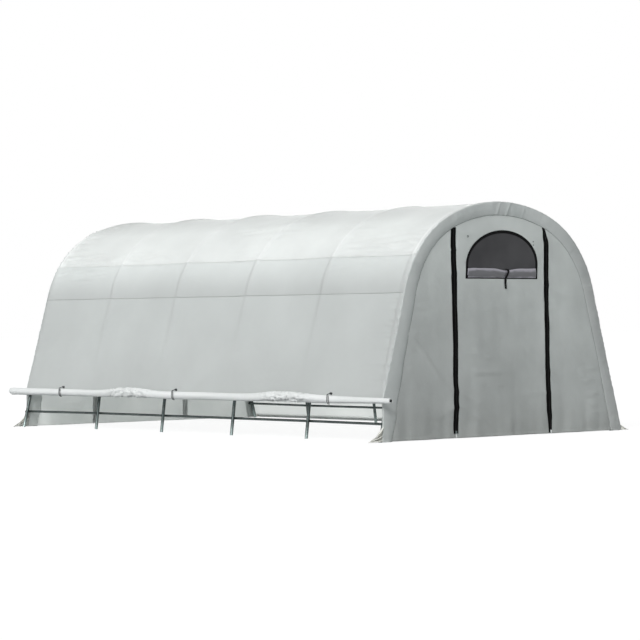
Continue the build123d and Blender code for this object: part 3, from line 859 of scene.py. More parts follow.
# how far each zip stands outside the drafted one at these heights
zipLines = {-1: [(0.0, 0.038), (0.9, 0.036), (1.4, 0.027), (2.1, 0.018)],
            1: [(0.05, 0.024), (0.10, 0.022), (0.30, 0.010), (0.80, -0.007), (1.40, -0.020), (2.00, -0.017),
                (2.12, -0.040), (2.22, -0.072)]}
wall = {"slack": 0.0090, "vertical": 0.0085, "diagonal": 0.0130, "level": 0.0120, "crumple": 0.0016,
        "cell": 0.026, "hemWave": 0.0150, "hemRipple": 0.003, "hemSlack": 0.004, "footGap": 0.012,
        "edgeInset": 0.0034, "stand": 0.002, "freeBelow": 1.0, "climb": 90}


def zipLine(z, side):
    # Across position of a zip at this height: the cloth's pull draws both zips out of true
    return side * door["halfWidth"] + between(zipLines[side], z)


def leaning(z):
    # The window's frame has pulled over towards the top
    return window["offset"] + window["skew"] * max(0.0, z - sill) / window["rise"]


def inWindow(x, z, margin=0.0):
    if z < sill - margin:
        return False
    across = (x - leaning(z)) / (window["halfWidth"] + margin)
    up = max(0.0, z - springing) / (archRise + margin)
    return across ** 2 + up ** 2 < 1


def windowOutline(margin, count):
    # Points round the opening: up the left side, over the top, down the right side, then back along the sill
    half, top = window["halfWidth"] + margin, archRise + margin
    low, upward = sill - margin, max(2, count // 12)
    climb = [low + (springing - low) * step / upward for step in range(upward)]
    arc = [(-half * math.cos(math.pi * step / count), springing + top * math.sin(math.pi * step / count))
           for step in range(count + 1)]
    steps = max(4, count // 2)
    ring = [(-half, z) for z in climb] + arc + [(half, z) for z in reversed(climb)]
    ring += [(half - 2 * half * step / steps, low) for step in range(1, steps)]
    return [(x + leaning(z), z) for x, z in ring]


def wallLift(x, z, facing):
    # How far the end wall stands off its flat plane, outward; x is to the viewer's right
    seed = 101.0 + facing * 3
    edge = smooth(0.0, 0.22, halfWidth - z * math.tan(lean) - abs(x) - 0.10) if z < 1.6 else \
        smooth(0.0, 0.2, archHeight(x, 0.12) - z)
    low = 1 - smooth(0.02, 0.5, z)
    lift = ripple(x * 1.9, z * 0.9, seed) * wall["slack"]
    lift += ripple(x * 7.0, z * 0.8, seed + 2) * wall["vertical"] * (0.5 + 0.9 * low)
    # slanting creases, nearly level ones, and sharp level ones over its lower half
    patch = smooth(0.0, 0.35, ripple(x * 1.4, z * 1.1, seed + 6))
    lift += (crease(x * 1.3 + z * 1.9, x * 0.8 - z * 0.5, seed + 4, 2.6) - 0.2) * wall["diagonal"] * patch
    patch = smooth(0.05, 0.4, ripple(x * 1.1 + 3.0, z * 0.9, seed + 10))
    lift += (crease(x * 0.9, z * 5.2, seed + 8, 3.0) - 0.15) * wall["diagonal"] * 0.55 * patch
    patch = smooth(-0.05, 0.35, ripple(x * 1.6 - 1.0, z * 1.2, seed + 11))
    lift += (crease(x * 0.8, z * 7.5, seed + 9, 4.0) - 0.1) * wall["level"] * smooth(1.15, 0.75, z) * patch
    lift += ripple(x * 14.0, z * 14.0, seed + 12) * wall["crumple"]
    # the hem waves, and the cloth is calm round the window's stiff frame
    lift += low * (ripple(x * 4.2, z, seed + 14) + 0.7 * ripple(x * 9.0, z * 0.7, seed + 15)) * wall["hemWave"]
    calm = 1.0
    if z > sill - 0.25:
        beside = math.hypot((x - leaning(z)) / window["halfWidth"], max(0.0, z - springing) / archRise)
        calm = smooth(0.06, 0.45, beside - 1)
        if z < sill:
            calm = max(calm, smooth(0.03, 0.22, sill - z))
    return lift * edge * (0.25 + 0.75 * calm) + wall["stand"] * edge


def onWall(x, z, facing, proud=0.0):
    # A point on an end wall; x is to the viewer's right, so it turns round at the rear
    return (x * -facing, endRib(facing) + facing * (panelDepth + wallLift(x, z, facing) + proud), z)


def wallPiece(name, outline, hole, inside, facing, material, thickness, proud=0.0):
    # Fills an outline with evenly placed points, leaves the hole open and lets the cloth's own folds shape it
    flat, edges = [], []
    for ring in (outline, hole):
        first = len(flat)
        flat += [Vector(point) for point in ring]
        edges += [(first + index, first + (index + 1) % len(ring)) for index in range(len(ring))]
    cell = wall["cell"]
    lowX, highX = min(p[0] for p in outline), max(p[0] for p in outline)
    lowZ, highZ = min(p[1] for p in outline), max(p[1] for p in outline)
    for row in range(int((highZ - lowZ) / cell) + 1):
        for column in range(int((highX - lowX) / cell) + 1):
            x, z = lowX + (column + 0.5) * cell, lowZ + (row + 0.5) * cell
            if inside(x, z, cell * 0.45):
                flat.append(Vector((x, z)))
    points, _, triangles = geometry.delaunay_2d_cdt(flat, edges, [], 1, 1e-6)[:3]
    kept = []
    for corners in triangles:
        middle = sum((points[corner] for corner in corners), Vector((0, 0))) / 3
        if inside(middle.x, middle.y, 0.0):
            turn = (points[corners[1]] - points[corners[0]]).cross(points[corners[2]] - points[corners[0]])
            kept.append(tuple(corners) if turn > 0 else tuple(corners)[::-1])
    solid = [onWall(point.x, point.y, facing, proud) for point in points]
    return meshPiece(name, solid, kept, material, [(point.x, point.y) for point in points], thickness)


# a window's clear flap, rolled down over the sill, and the strap that holds it
flap = {"tall": 0.100, "sideGap": 0.012, "strapX": 0.070, "dip": 0.022, "wave": 0.006, "stand": 0.0052,
        "swell": 0.0105, "folds": 0.0035, "nearest": 0.0040}
strap = {"width": 0.030,
         # across from the middle, up from the sill and out from the wall, down the strap
         "line": [(0.074, 0.088, 0.006), (0.086, 0.082, 0.022), (0.092, 0.060, 0.0245), (0.082, 0.035, 0.0225),
                  (0.068, 0.010, 0.019), (0.062, -0.020, 0.0075), (0.062, -0.060, 0.0058),
                  (0.068, -0.095, 0.0060), (0.070, -0.118, 0.0062)]}


def bindingPiece(name, facing):
    # Tape folded round the window's edge: low in the middle, rolled at its edges
    half, high, edge = window["binding"] / 2, window["bindingHeight"], window["bindingEdge"]
    section = [(-half, -0.0006), (-half, edge), (-half * 0.55, high), (0.0, high * 0.8), (half * 0.55, high),
               (half, edge), (half, -0.0006)]
    rings = [windowOutline(offset, 72) for offset, _ in section]
    count, width = min(len(ring) for ring in rings), len(section)
    points, places, faces = [], [], []
    for index in range(count):
        for column, ((offset, height), ring) in enumerate(zip(section, rings)):
            x, z = ring[index]
            wobble = 0.0006 * ripple(index * 0.9, offset * 60, 141.0)
            points.append(onWall(x, z, facing, height + wobble))
            places.append((index * 0.035, offset))
            here, after, beside = index * width, ((index + 1) % count) * width, (column + 1) % width
            faces.append((here + column, after + column, after + beside, here + beside))
    return meshPiece(name, points, faces, bindingTape, places)


def flapPoint(up, across, facing):
    # A slack top edge that dips to its strap
    low = sill - 0.004
    x = window["offset"] + (across - 0.5) * 2 * (window["halfWidth"] - flap["sideGap"])
    beside = x - flap["strapX"]
    dip = flap["dip"] * math.exp(-(beside / 0.13) ** 2) + flap["wave"] * ripple(x * 7.0, 0.0, 151.0)
    tall = flap["tall"] - dip
    # the film goes up the front, over the top and back down behind itself
    if up < 0.6:
        share = up / 0.6
        z = low + tall * share
        out = flap["stand"] + flap["swell"] * math.sin(math.pi * min(1.0, share * 0.9)) \
            * (1 - 0.45 * math.exp(-(beside / 0.07) ** 2))
    else:
        share = (up - 0.6) / 0.4
        z = low + tall * (1 - 0.75 * share) + 0.004 * math.sin(math.pi * share)
        out = flap["stand"] + flap["swell"] * 0.31 * (1 - share) - 0.001 * share
    out += flap["folds"] * (crease(x * 4.5, z * 16.0, 153.0) - 0.35) * smooth(0.05, 0.3, up)
    return onWall(x, z, facing, max(flap["nearest"], out))


def strapPoint(down, across, facing):
    # Sewn at its top, over the flap and hanging free below the sill
    line = strap["line"]
    place = down * (len(line) - 1)
    index = min(int(place), len(line) - 2)
    part = place - index
    part = part * part * (3 - 2 * part) * 0.3 + part * 0.7
    x, up, out = (line[index][k] + (line[index + 1][k] - line[index][k]) * part for k in range(3))
    twist = across - 0.5
    return onWall(x + twist * strap["width"], sill + up + twist * 0.004 * math.sin(down * 6), facing,
                  out + 0.0015 * math.cos(twist * 3.0))


for end, facing in tunnelEnds:
    # the rear wall takes the paler copy of the end walls' cloth, painted light
    wallCloth = cloths["EndWall" if facing < 0 else "ShadedEndWallPaintedLight"]

    def hem(x):
        return hemLevel + wall["hemRipple"] * ripple(x * 3.0, 0.0, 131.0 + facing)

    for side, word in ((-1, "left"), (1, "right")):
        # seen from inside the other end, the open side is the other hand
        openSide = -1 if side == facing else 1

        def panelEdge(z):
            return halfWidth - z * math.tan(lean) - wall["footGap"] - footSwing(z, openSide)

        innerX, outerX = side * zipLine(hemLevel, side) + door["gap"], panelEdge(hemLevel)
        steps = round((outerX - innerX) / wall["cell"])
        hemPlaces = [innerX + (outerX - innerX) * step / steps for step in range(steps + 1)]
        outline = [(side * x, hem(side * x)) for x in hemPlaces]
        for step in range(1, wall["climb"] + 1):
            along = (hemLevel + 0.01) / math.cos(lean) + (archLength / 2) * step / wall["climb"]
            (x, z), _ = archPoint(archLength - along, wall["edgeInset"])
            if x <= side * zipLine(z, side) + door["gap"]:
                break
            outline.append((side * (min(x, panelEdge(z)) if z < wall["freeBelow"] else x), z))
        topX = side * zipLine(door["top"], side) + door["gap"]
        top = archHeight(topX, wall["edgeInset"])
        outline.append((side * topX, top))
        rows = round(top / wall["cell"])
        heights = [top - (top - hem(side * innerX)) * step / rows for step in range(1, rows)]
        outline += [(zipLine(z, side) + side * door["gap"], z) for z in heights]

        def insidePanel(x, z, margin):
            if z < wall["freeBelow"] and side * x > panelEdge(z) - margin:
                return False
            return side * (x - zipLine(z, side)) > door["gap"] * 0.5 + margin \
                and hemLevel - wall["hemSlack"] + margin < z \
                < archHeight(x, wall["edgeInset"] + margin) - margin * 1.2

        piece = wallPiece(f"{end}Panel{word.title()}", outline, [], insidePanel, facing, wallCloth,
                          tunnel["clothThickness"])
        standing(piece, "end_fabric", f"{end}_panel_{word}")

    # the door, from zip to zip
    footLeft, footRight = zipLine(hemLevel, -1), zipLine(hemLevel, 1)
    steps = round(2 * door["halfWidth"] / wall["cell"])
    hemPlaces = [footLeft + (footRight - footLeft) * step / steps for step in range(steps + 1)]
    outline = [(x, hem(x)) for x in hemPlaces]
    topLeft, topRight = zipLine(door["top"], -1), zipLine(door["top"], 1)
    rightTop, leftTop = archHeight(topRight, wall["edgeInset"]), archHeight(topLeft, wall["edgeInset"])
    rows = round(rightTop / wall["cell"])
    heights = [hemLevel + (rightTop - hemLevel) * step / rows for step in range(1, rows)]
    outline += [(zipLine(z, 1), z) for z in heights]
    outline += [(x, archHeight(x, wall["edgeInset"])) for x in
                (topRight + (topLeft - topRight) * step / steps for step in range(steps + 1))]
    heights = [leftTop - (leftTop - hemLevel) * step / rows for step in range(1, rows)]
    outline += [(zipLine(z, -1), z) for z in heights]

    def insideDoor(x, z, margin):
        return zipLine(z, -1) + margin < x < zipLine(z, 1) - margin \
            and hemLevel - wall["hemSlack"] + margin < z < archHeight(x, wall["edgeInset"] + margin) \
            and not inWindow(x, z, margin - 0.0005 if margin else -0.0002)

    piece = wallPiece(f"{end}Door", outline, windowOutline(0.0, window["count"]), insideDoor, facing, wallCloth,
                      tunnel["clothThickness"])
    standing(piece, "end_fabric", f"{end}_door")

    piece = wallPiece(f"{end}WindowScreen", windowOutline(0.004, window["count"]), [],
                      lambda x, z, margin: inWindow(x, z, 0.0035 - margin), facing, net, 0.0008, -0.0016)
    standing(piece, "window_mesh", f"{end}_window_screen")

    piece = bindingPiece(f"{end}WindowBinding", facing)
    standing(piece, "black_binding", f"{end}_window_binding")

    piece = gridPiece(f"{end}WindowFlap", 26, 90, lambda up, across: flapPoint(up, across, facing),
                      lambda up, across: (across * 1.02, up * 0.17), film, 0.0006, outward=False)
    standing(piece, "window_film", f"{end}_window_flap")

    piece = gridPiece(f"{end}WindowStrap", 40, 6, lambda down, across: strapPoint(down, across, facing),
                      lambda down, across: (across * 0.03, down * 0.22), webbing, 0.0018, outward=facing > 0)
    standing(piece, "black_webbing", f"{end}_window_strap")
print("end walls made")

# Zips: the tapes; their coils are sewn on with the stitches, and their sliders and pulls made with the window's
# fittings

zipLook = {"width": 0.074, "thickness": 0.0012, "tapeRise": 0.0016, "coilRise": 0.0034, "footNarrow": 0.35,
           "feet": {-1: 0.052, 1: 0.016}}


def zipMiddle(z, side, facing):
    # Across position of a zip, with a little wander in its tape
    return zipLine(z, side) + 0.0035 * ripple(z * 2.2, side * 3.0, 161.0 + facing)


def zipTop(side):
    # A zip stops just under the band's seam
    return archHeight(zipLine(door["top"], side), bandProfile[-1][0] * 1.04)


def tapePoint(up, across, side, facing):
    # The right zip narrows to its foot, where it is folded, and to its top
    foot, top = zipLook["feet"][side], zipTop(side)
    z = foot + (top - foot) * up
    narrow = 1 - zipLook["footNarrow"] * (1 - smooth(foot, 0.25, z)) * (1 if side > 0 else 0.2)
    narrow *= 1 - 0.5 * smooth(top - 0.14, top, z) * (1 if side > 0 else 0)
    narrow *= 1 + 0.10 * ripple(z * 4.0, side, 165.0)
    x = zipMiddle(z, side, facing) + (across - 0.5) * zipLook["width"] * narrow
    bow = 0.0016 * math.sin(across * math.pi) + 0.0012 * ripple(z * 9.0, across * 2, 167.0)
    return onWall(x, z, facing, zipLook["tapeRise"] + bow)


for end, facing in tunnelEnds:
    for side, word in ((-1, "Left"), (1, "Right")):
        piece = gridPiece(f"{end}ZipTape{word}", 110, 8, lambda up, across: tapePoint(up, across, side, facing),
                          lambda up, across: (across * 0.07, up * 2.2), zipTape, zipLook["thickness"])
        standing(piece, "zip_tape", f"{end}_door_zips")
        zipTop(side) - zipLook["feet"][side]
print("zips made")

# Geometry Nodes: one tree sets small parts along sewn or bolted lines


def treeWith(name, sizes):
    # A tree with a line or points coming in, its named sizes, and the finished parts going out
    tree = bpy.data.node_groups.new(name, "GeometryNodeTree")
    tree.interface.new_socket("Geometry", in_out="INPUT", socket_type="NodeSocketGeometry")
    for label, size in sizes.items():
        tree.interface.new_socket(label, in_out="INPUT", socket_type="NodeSocketFloat").default_value = size
    tree.interface.new_socket("Geometry", in_out="OUTPUT", socket_type="NodeSocketGeometry")
    return tree


def standUp(tree):
    # Turns a part to stand up from the surface that its line lies on
    facing = addNode(tree, "GeometryNodeInputNamedAttribute", {"data_type": "FLOAT_VECTOR", "Name": "facing"})
    return addNode(tree, "FunctionNodeAlignRotationToVector", {"axis": "Z"},
                   {"Vector": facing.outputs[0]}).outputs[0]


def finished(tree, copies, material):
    real = addNode(tree, "GeometryNodeRealizeInstances", {}, {"Geometry": copies})
    painted = addNode(tree, "GeometryNodeSetMaterial", {"Material": material}, {"Geometry": real.outputs[0]})
    addNode(tree, "NodeGroupOutput", {}, {0: painted.outputs[0]})
    return tree


def stitchTree(name, material):
    # A row of stitches: each a plump bead of thread lying along the seam
    tree = treeWith(name, {"Pitch": 0.009, "Stitch Length": 0.006, "Thread Width": 0.0014})
    given = addNode(tree, "NodeGroupInput").outputs
    line = addNode(tree, "GeometryNodeMeshToCurve", {}, {"Mesh": given["Geometry"]}).outputs[0]
    bead = addNode(tree, "GeometryNodeMeshUVSphere", {"Segments": 5, "Rings": 3, "Radius": 0.5}).outputs["Mesh"]
    size = addNode(tree, "ShaderNodeCombineXYZ", {}, {"X": given["Stitch Length"], "Y": given["Thread Width"],
                                                      "Z": given["Thread Width"]}).outputs[0]
    spaced = addNode(tree, "GeometryNodeResampleCurve", {"mode": "LENGTH"},
                     {"Curve": line, "Length": given["Pitch"]}).outputs[0]
    # each bead runs along the line, and the turn is kept on the curve for its points
    tangent = addNode(tree, "GeometryNodeInputTangent").outputs[0]
    turned = addNode(tree, "FunctionNodeAlignRotationToVector", {"axis": "X", "pivot_axis": "Z"},
                     {"Rotation": standUp(tree), "Vector": tangent}).outputs[0]
    stored = addNode(tree, "GeometryNodeStoreNamedAttribute",
                     {"data_type": "QUATERNION", "domain": "POINT", "Name": "turn"},
                     {"Geometry": spaced, "Value": turned}).outputs[0]
    points = addNode(tree, "GeometryNodeCurveToPoints", {"mode": "EVALUATED"}, {"Curve": stored}).outputs[0]
    turn = addNode(tree, "GeometryNodeInputNamedAttribute",
                   {"data_type": "QUATERNION", "Name": "turn"}).outputs[0]
    copies = addNode(tree, "GeometryNodeInstanceOnPoints", {},
                     {"Points": points, "Instance": bead, "Rotation": turn, "Scale": size}).outputs[0]
    return finished(tree, copies, material)


boltSizes = {"Washer Radius": 0.011, "Nut Radius": 0.0078, "Nut Height": 0.0062}


def boltTree(name, material):
    # A bolt end: washer, hexagon nut and domed tip, one at each point of the line
    tree = treeWith(name, boltSizes)
    given = addNode(tree, "NodeGroupInput").outputs
    washer = addNode(tree, "GeometryNodeMeshCylinder", {"Vertices": 20, "Depth": 0.0016},
                     {"Radius": given["Washer Radius"]}).outputs["Mesh"]
    nut = addNode(tree, "GeometryNodeMeshCylinder", {"Vertices": 6},
                  {"Radius": given["Nut Radius"], "Depth": given["Nut Height"]}).outputs["Mesh"]
    tip = addNode(tree, "GeometryNodeMeshUVSphere",
                  {"Segments": 12, "Rings": 8, "Radius": 0.0042}).outputs["Mesh"]
    nut, tip = (addNode(tree, "GeometryNodeTransform", {"Translation": (0, 0, up)},
                        {"Geometry": part}).outputs[0] for part, up in ((nut, 0.0036), (tip, 0.0066)))
    joined = addNode(tree, "GeometryNodeJoinGeometry")
    for part in (washer, nut, tip):
        tree.links.new(part, joined.inputs[0])
    dots = addNode(tree, "GeometryNodeMeshToPoints", {}, {"Mesh": given["Geometry"]}).outputs[0]
    copies = addNode(tree, "GeometryNodeInstanceOnPoints", {},
                     {"Points": dots, "Instance": joined.outputs[0], "Rotation": standUp(tree)}).outputs[0]
    return finished(tree, copies, material)


def alongLines(name, lines, tree, sizes):
    # Each line is a list of (point, facing); the tree's parts follow them all and become one plain mesh
    mesh = bpy.data.meshes.new(name)
    points, edges, facings = [], [], []
    for line in lines:
        first = len(points)
        points += [point for point, _ in line]
        facings += [facing for _, facing in line]
        if tree.name.startswith("stitch"):
            edges += [(first + index, first + index + 1) for index in range(len(line) - 1)]
    mesh.from_pydata(points, edges, [])
    attribute = mesh.attributes.new("facing", "FLOAT_VECTOR", "POINT")
    for index, facing in enumerate(facings):
        attribute.data[index].vector = facing
    piece = placed(name, mesh)
    modifier = piece.modifiers.new("parts", "NODES")
    modifier.node_group = tree
    for socket in tree.interface.items_tree:
        if socket.in_out == "INPUT" and socket.name in sizes:
            modifier[socket.identifier] = sizes[socket.name]
    settled(piece)
    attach(piece, "root")


def stitchSizes(pitch, length, width):
    return {"Pitch": pitch, "Stitch Length": length, "Thread Width": width}


lightStitches = stitchTree("stitchLight", thread)
seamShadowStitches = stitchTree("stitchSeamShadow", seamShadowThread)
coilBeads = stitchTree("stitchCoil", zipCoil)
bolts = boltTree("bolt", zinc)

# pitch, stitch length and thread width; the thread is drawn a little heavy so that it shows
sewing = {"cover": stitchSizes(0.011, 0.007, 0.0011), "band": stitchSizes(0.008, 0.0085, 0.0042),
          "coil": stitchSizes(0.008, 0.0055, 0.008), "window": stitchSizes(0.009, 0.006, 0.0012),
          "hem": stitchSizes(0.011, 0.007, 0.0013), "pocket": stitchSizes(0.011, 0.007, 0.0014),
          "seamOffset": 0.005, "seamRise": 0.0003, "bandShare": 0.955, "hemRows": (0.018, 0.030)}

seamLines = []
for run in (upperRun, lowerRun):
    for along in (run + sewing["seamOffset"], archLength - run - sewing["seamOffset"]):
        (_, _), (outX, outZ) = archPoint(along)
        places = [coverFront + 0.01 + (coverRear - coverFront - 0.02) * step / 240 for step in range(241)]
        seamLines.append([(coverPoint(along, y, cover["lapRise"] + sewing["seamRise"]), (outX, 0, outZ))
                          for y in places])
alongLines("coverSeamStitches", seamLines, lightStitches, sewing["cover"])

for end, facing in tunnelEnds:
    # the band's seam is sewn in grey thread as one unbroken line, a painted shadow of its fold
    line = []
    for step in range(700):
        x, y, z = bandPoint(0.05 + (archLength - 0.10) * step / 699, sewing["bandShare"], facing)
        line.append(((x, y + facing * 0.0006, z), (0, facing, 0)))
    alongLines(f"{end}BandShadowStitches", [line], seamShadowStitches, sewing["band"])
    coilLines = []
    for side in (-1, 1):
        foot, top = zipLook["feet"][side], zipTop(side)
        heights = [foot + 0.02 + (top - foot - 0.03) * step / 149 for step in range(150)]
        proud = zipLook["tapeRise"] + zipLook["coilRise"]
        coilLines.append([(onWall(zipMiddle(z, side, facing), z, facing, proud), (0, facing, 0))
                          for z in heights])
    alongLines(f"{end}ZipCoils", coilLines, coilBeads, sewing["coil"])
    ring = windowOutline(0.0, 90)
    line = [(onWall(x, z, facing, window["bindingHeight"]), (0, facing, 0)) for x, z in ring + ring[:1]]
    alongLines(f"{end}WindowStitches", [line], coilBeads, sewing["window"])
    # the open side's edge has swung in: it is to the viewer's left at the front and to the right at the rear
    reaches = [halfWidth - 0.05 - footSwing(hemLevel, way * -facing) for way in (-1, 1)]
    places = [-reaches[0] + sum(reaches) * step / 159 for step in range(160)]
    hemLines = [[(onWall(x, up + hemLevel, facing, 0.0008), (0, facing, 0)) for x in places]
                for up in sewing["hemRows"]]
    alongLines(f"{end}HemStitches", hemLines, lightStitches, sewing["hem"])
print("stitches made")

# Sliders, pulls and window eyelets


def shapedBlock(sizes, place, bevel):
    # A small moulded block with rounded edges, a little narrower below
    mesh = bmesh.new()
    bmesh.ops.create_cube(mesh, size=1.0)
    for vertex in mesh.verts:
        taper = 1 - 0.22 * (vertex.co.z < 0)
        vertex.co = Vector((vertex.co.x * sizes[0] * taper, vertex.co.y * sizes[1], vertex.co.z * sizes[2]))
    bmesh.ops.bevel(mesh, geom=mesh.edges[:] + mesh.verts[:], offset=bevel, segments=3, profile=0.6,
                    affect="EDGES")
    for vertex in mesh.verts:
        vertex.co += Vector(place)
    return mesh


def joinedMesh(name, meshes, material):
    whole = bmesh.new()
    for mesh in meshes:
        part = bpy.data.meshes.new("part")
        mesh.to_mesh(part)
        mesh.free()
        whole.from_mesh(part)
        bpy.data.meshes.remove(part)
    bmesh.ops.recalc_face_normals(whole, faces=whole.faces[:])
    made = bpy.data.meshes.new(name)
    whole.to_mesh(made)
    whole.free()
    made.materials.append(material)
    made.shade_smooth()
    made.uv_layers.new(name="cloth")
    return placed(name, made)


def ringMesh(place, facing, outer, tube, flatness=1.0, around=28, section=10):
    # A rolled ring that lies against a surface facing along y
    mesh = bmesh.new()
    rows = []
    for step in range(around):
        turn = 2 * math.pi * step / around
        row = []
        for corner in range(section):
            bend = 2 * math.pi * corner / section
            radius = outer - tube + tube * math.cos(bend)
            row.append(mesh.verts.new((place[0] + radius * math.cos(turn), place[1] + facing * tube * flatness
                                       * math.sin(bend), place[2] + radius * math.sin(turn))))
        rows.append(row)
    for step in range(around):
        for corner in range(section):
            one, two = rows[step], rows[(step + 1) % around]
            mesh.faces.new((one[corner], one[(corner + 1) % section], two[(corner + 1) % section], two[corner]))
    return mesh


fittings = {"slider": (0.020, 0.009, 0.024), "bridge": (0.007, 0.005, 0.012), "pull": (0.017, 0.0022, 0.042),
            "pullDrop": 0.034, "lowest": 0.0225, "lying": 0.0235,
            "oddEyelet": (-0.478, 2.068), "eyelets": (0.490, (2.028, 1.992))}

for end, facing in tunnelEnds:
    parts, tags = [], []
    for side in (-1, 1):
        z = zipLook["feet"][side] + 0.014
        x, y, z = onWall(zipMiddle(z, side, facing), z, facing, 0.0075)
        parts.append(shapedBlock(fittings["slider"], (x, y, z), 0.0025))
        parts.append(shapedBlock(fittings["bridge"], (x, y + facing * 0.006, z - 0.002), 0.0015))
        parts.append(ringMesh((x, y + facing * 0.008, z - 0.014), facing, 0.0075, 0.0014))
        # a pull by the ground lies over its slider instead of hanging under it
        out, low = (0.004, z - fittings["pullDrop"]) if z - fittings["pullDrop"] > fittings["lowest"] \
            else (0.0105, fittings["lying"])
        tags.append(shapedBlock(fittings["pull"], (x - 0.002, y + facing * out, low), 0.001))
    standing(joinedMesh(f"{end}ZipSliders", parts, zinc), "galvanised_tube")
    standing(joinedMesh(f"{end}ZipPulls", tags, thread), "zip_tape")
    eyelets = [ringMesh(onWall(*fittings["oddEyelet"], facing, 0.002), facing, 0.0115, 0.0028, 0.7)]
    x, heights = fittings["eyelets"]
    eyelets += [ringMesh(onWall(x, z, facing, 0.002), facing, 0.0068, 0.0026, 0.8) for z in heights]
    standing(joinedMesh(f"{end}WindowEyelets", eyelets, zinc), "galvanised_tube")
print("zip and window fittings made")

# Ties: elastic cords from a ball on the cover, over the outside of the roll and under it

tie = {"places": (-2.352, 0.197, 2.306), "diameter": 0.0062, "sway": -0.066, "spread": 0.009,
       "anchorRise": 0.070, "anchorOut": 0.012, "clear": 0.0045,
       "ballRadius": 0.0125, "ballFlat": 0.86, "collar": (0.0145, 0.010, 0.006), "collarIn": 0.010}
# degrees round the roll, with the share of the sway there
tieRoute = ((28, 0.35), (55, 0.75), (80, 1.0), (105, 1.05), (130, 1.0), (155, 0.9), (180, 0.7), (205, 0.45))


def aroundRoll(distance, turn, proud):
    # A point over the roll's outer side: turn 0 is up the slope, 90 is outward, 180 is under, in degrees
    radius = rollRadius(distance) + proud
    centreX, centreZ = rollCentre(distance)
    turn = math.radians(turn)
    upX, upZ = math.sin(lean), math.cos(lean)
    outX, outZ = -math.cos(lean), math.sin(lean)
    return Vector((centreX + radius * (upX * math.cos(turn) + outX * math.sin(turn)), rollFront + distance,
                   centreZ + radius * (upZ * math.cos(turn) + outZ * math.sin(turn))))


tieNumber = 0
ballParts = []
for along in tie["places"]:
    place = along - rollFront
    (x, z), (outX, outZ) = archPoint(rollRun + tie["anchorRise"] + rollBulge(place))
    outward = Vector((outX, 0, outZ))
    anchor = Vector((x + outX * tie["anchorOut"], rollFront + place - 0.004, z + outZ * tie["anchorOut"]))
    for strand in (-1, 1):
        tieNumber += 1
        route = [anchor + Vector((0, strand * 0.003, 0))]
        for turn, sway in tieRoute:
            point = aroundRoll(place, turn, tie["diameter"] * 0.5 + tie["clear"])
            apart = 0.35 + 0.9 * math.sin(math.radians(turn) * 0.8)
            point.y += sway * tie["sway"] + strand * tie["spread"] * apart
            route.append(point)
        curve = bpy.data.curves.new(f"rollTie{tieNumber}", "CURVE")
        curve.dimensions = "3D"
        spline = curve.splines.new("NURBS")
        spline.points.add(len(route) - 1)
        for point, target in zip(spline.points, route):
            point.co = (*target, 1.0)
        spline.order_u = 3
        spline.use_endpoint_u = True
        spline.resolution_u = 8
        line = placed(f"rollTie{tieNumber}", curve)
        bpy.context.view_layer.update()
        path = bpy.data.meshes.new_from_object(line.evaluated_get(bpy.context.evaluated_depsgraph_get()))
        length = sum((path.vertices[edge.vertices[0]].co - path.vertices[edge.vertices[1]].co).length
                     for edge in path.edges)
        bpy.data.meshes.remove(path)
        curve.bevel_depth = tie["diameter"] / 2
        curve.bevel_resolution = 4
        curve.use_fill_caps = True
        curve.materials.append(elastic)
        standing(line, "tie_cord", *(["roll_ties_left"] if tieNumber == 1 else []))
        tuple(route[0])
    ball = bmesh.new()
    bmesh.ops.create_uvsphere(ball, u_segments=24, v_segments=16, radius=tie["ballRadius"])
    for vertex in ball.verts:
        vertex.co.z *= tie["ballFlat"]
        vertex.co += anchor
    # a collar under each ball, round the hole that its cords come out of
    wide, narrow, depth = tie["collar"]
    collar = bmesh.new()
    bmesh.ops.create_cone(collar, cap_ends=True, segments=20, radius1=wide, radius2=narrow, depth=depth)
    bmesh.ops.bevel(collar, geom=[edge for edge in collar.edges if not edge.is_boundary], offset=0.0012,
                    segments=2, affect="EDGES")
    turnTo = outward.to_track_quat("Z", "Y").to_matrix()
    for vertex in collar.verts:
        vertex.co = turnTo @ vertex.co + anchor - outward * tie["collarIn"]
    ballParts += [ball, collar]
standing(joinedMesh("rollTieBalls", ballParts, toggle), "tie_cord")
print("ties made")

# Hem pocket along the closed side, round its pipe

pocketLow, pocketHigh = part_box("hem_pipe_right")
pocketX, pocketZ = middleOf("hem_pipe_right", 0), middleOf("hem_pipe_right", 2)
pocket = {"radius": 0.0159, "ends": 0.012, "rows": (0.010, 0.020), "thickness": 0.001}


def pocketPoint(share, around):
    y = pocketLow.y + pocket["ends"] + (pocketHigh.y - pocketLow.y - 2 * pocket["ends"]) * share
    turn = around * 2 * math.pi
    radius = pocket["radius"] + 0.0009 * ripple(y * 6.0, around * 3.0, 171.0) \
        + 0.0007 * crease(y * 18.0, around * 1.5, 173.0)
    return (pocketX + radius * math.cos(turn), y, pocketZ + radius * math.sin(turn))


piece = gridPiece("hemPocketRight", 260, 20, pocketPoint, lambda share, around: (share * 6.1, around * 0.1),
                  cloths["Roof"], pocket["thickness"], ring=True)
standing(piece, "cover_fabric")
hemLines = []
for up in pocket["rows"]:
    along = archLength - (pocketRun + up)
    (_, _), (outX, outZ) = archPoint(along)
    places = [pocketLow.y + (pocketHigh.y - pocketLow.y) * step / 200 for step in range(201)]
    hemLines.append([(coverPoint(along, y, 0.0004), (outX, 0, outZ)) for y in places])
alongLines("hemPocketStitches", hemLines, lightStitches, sewing["pocket"])

# Gathered corners: pleated tails drawn out from each foot of the end walls

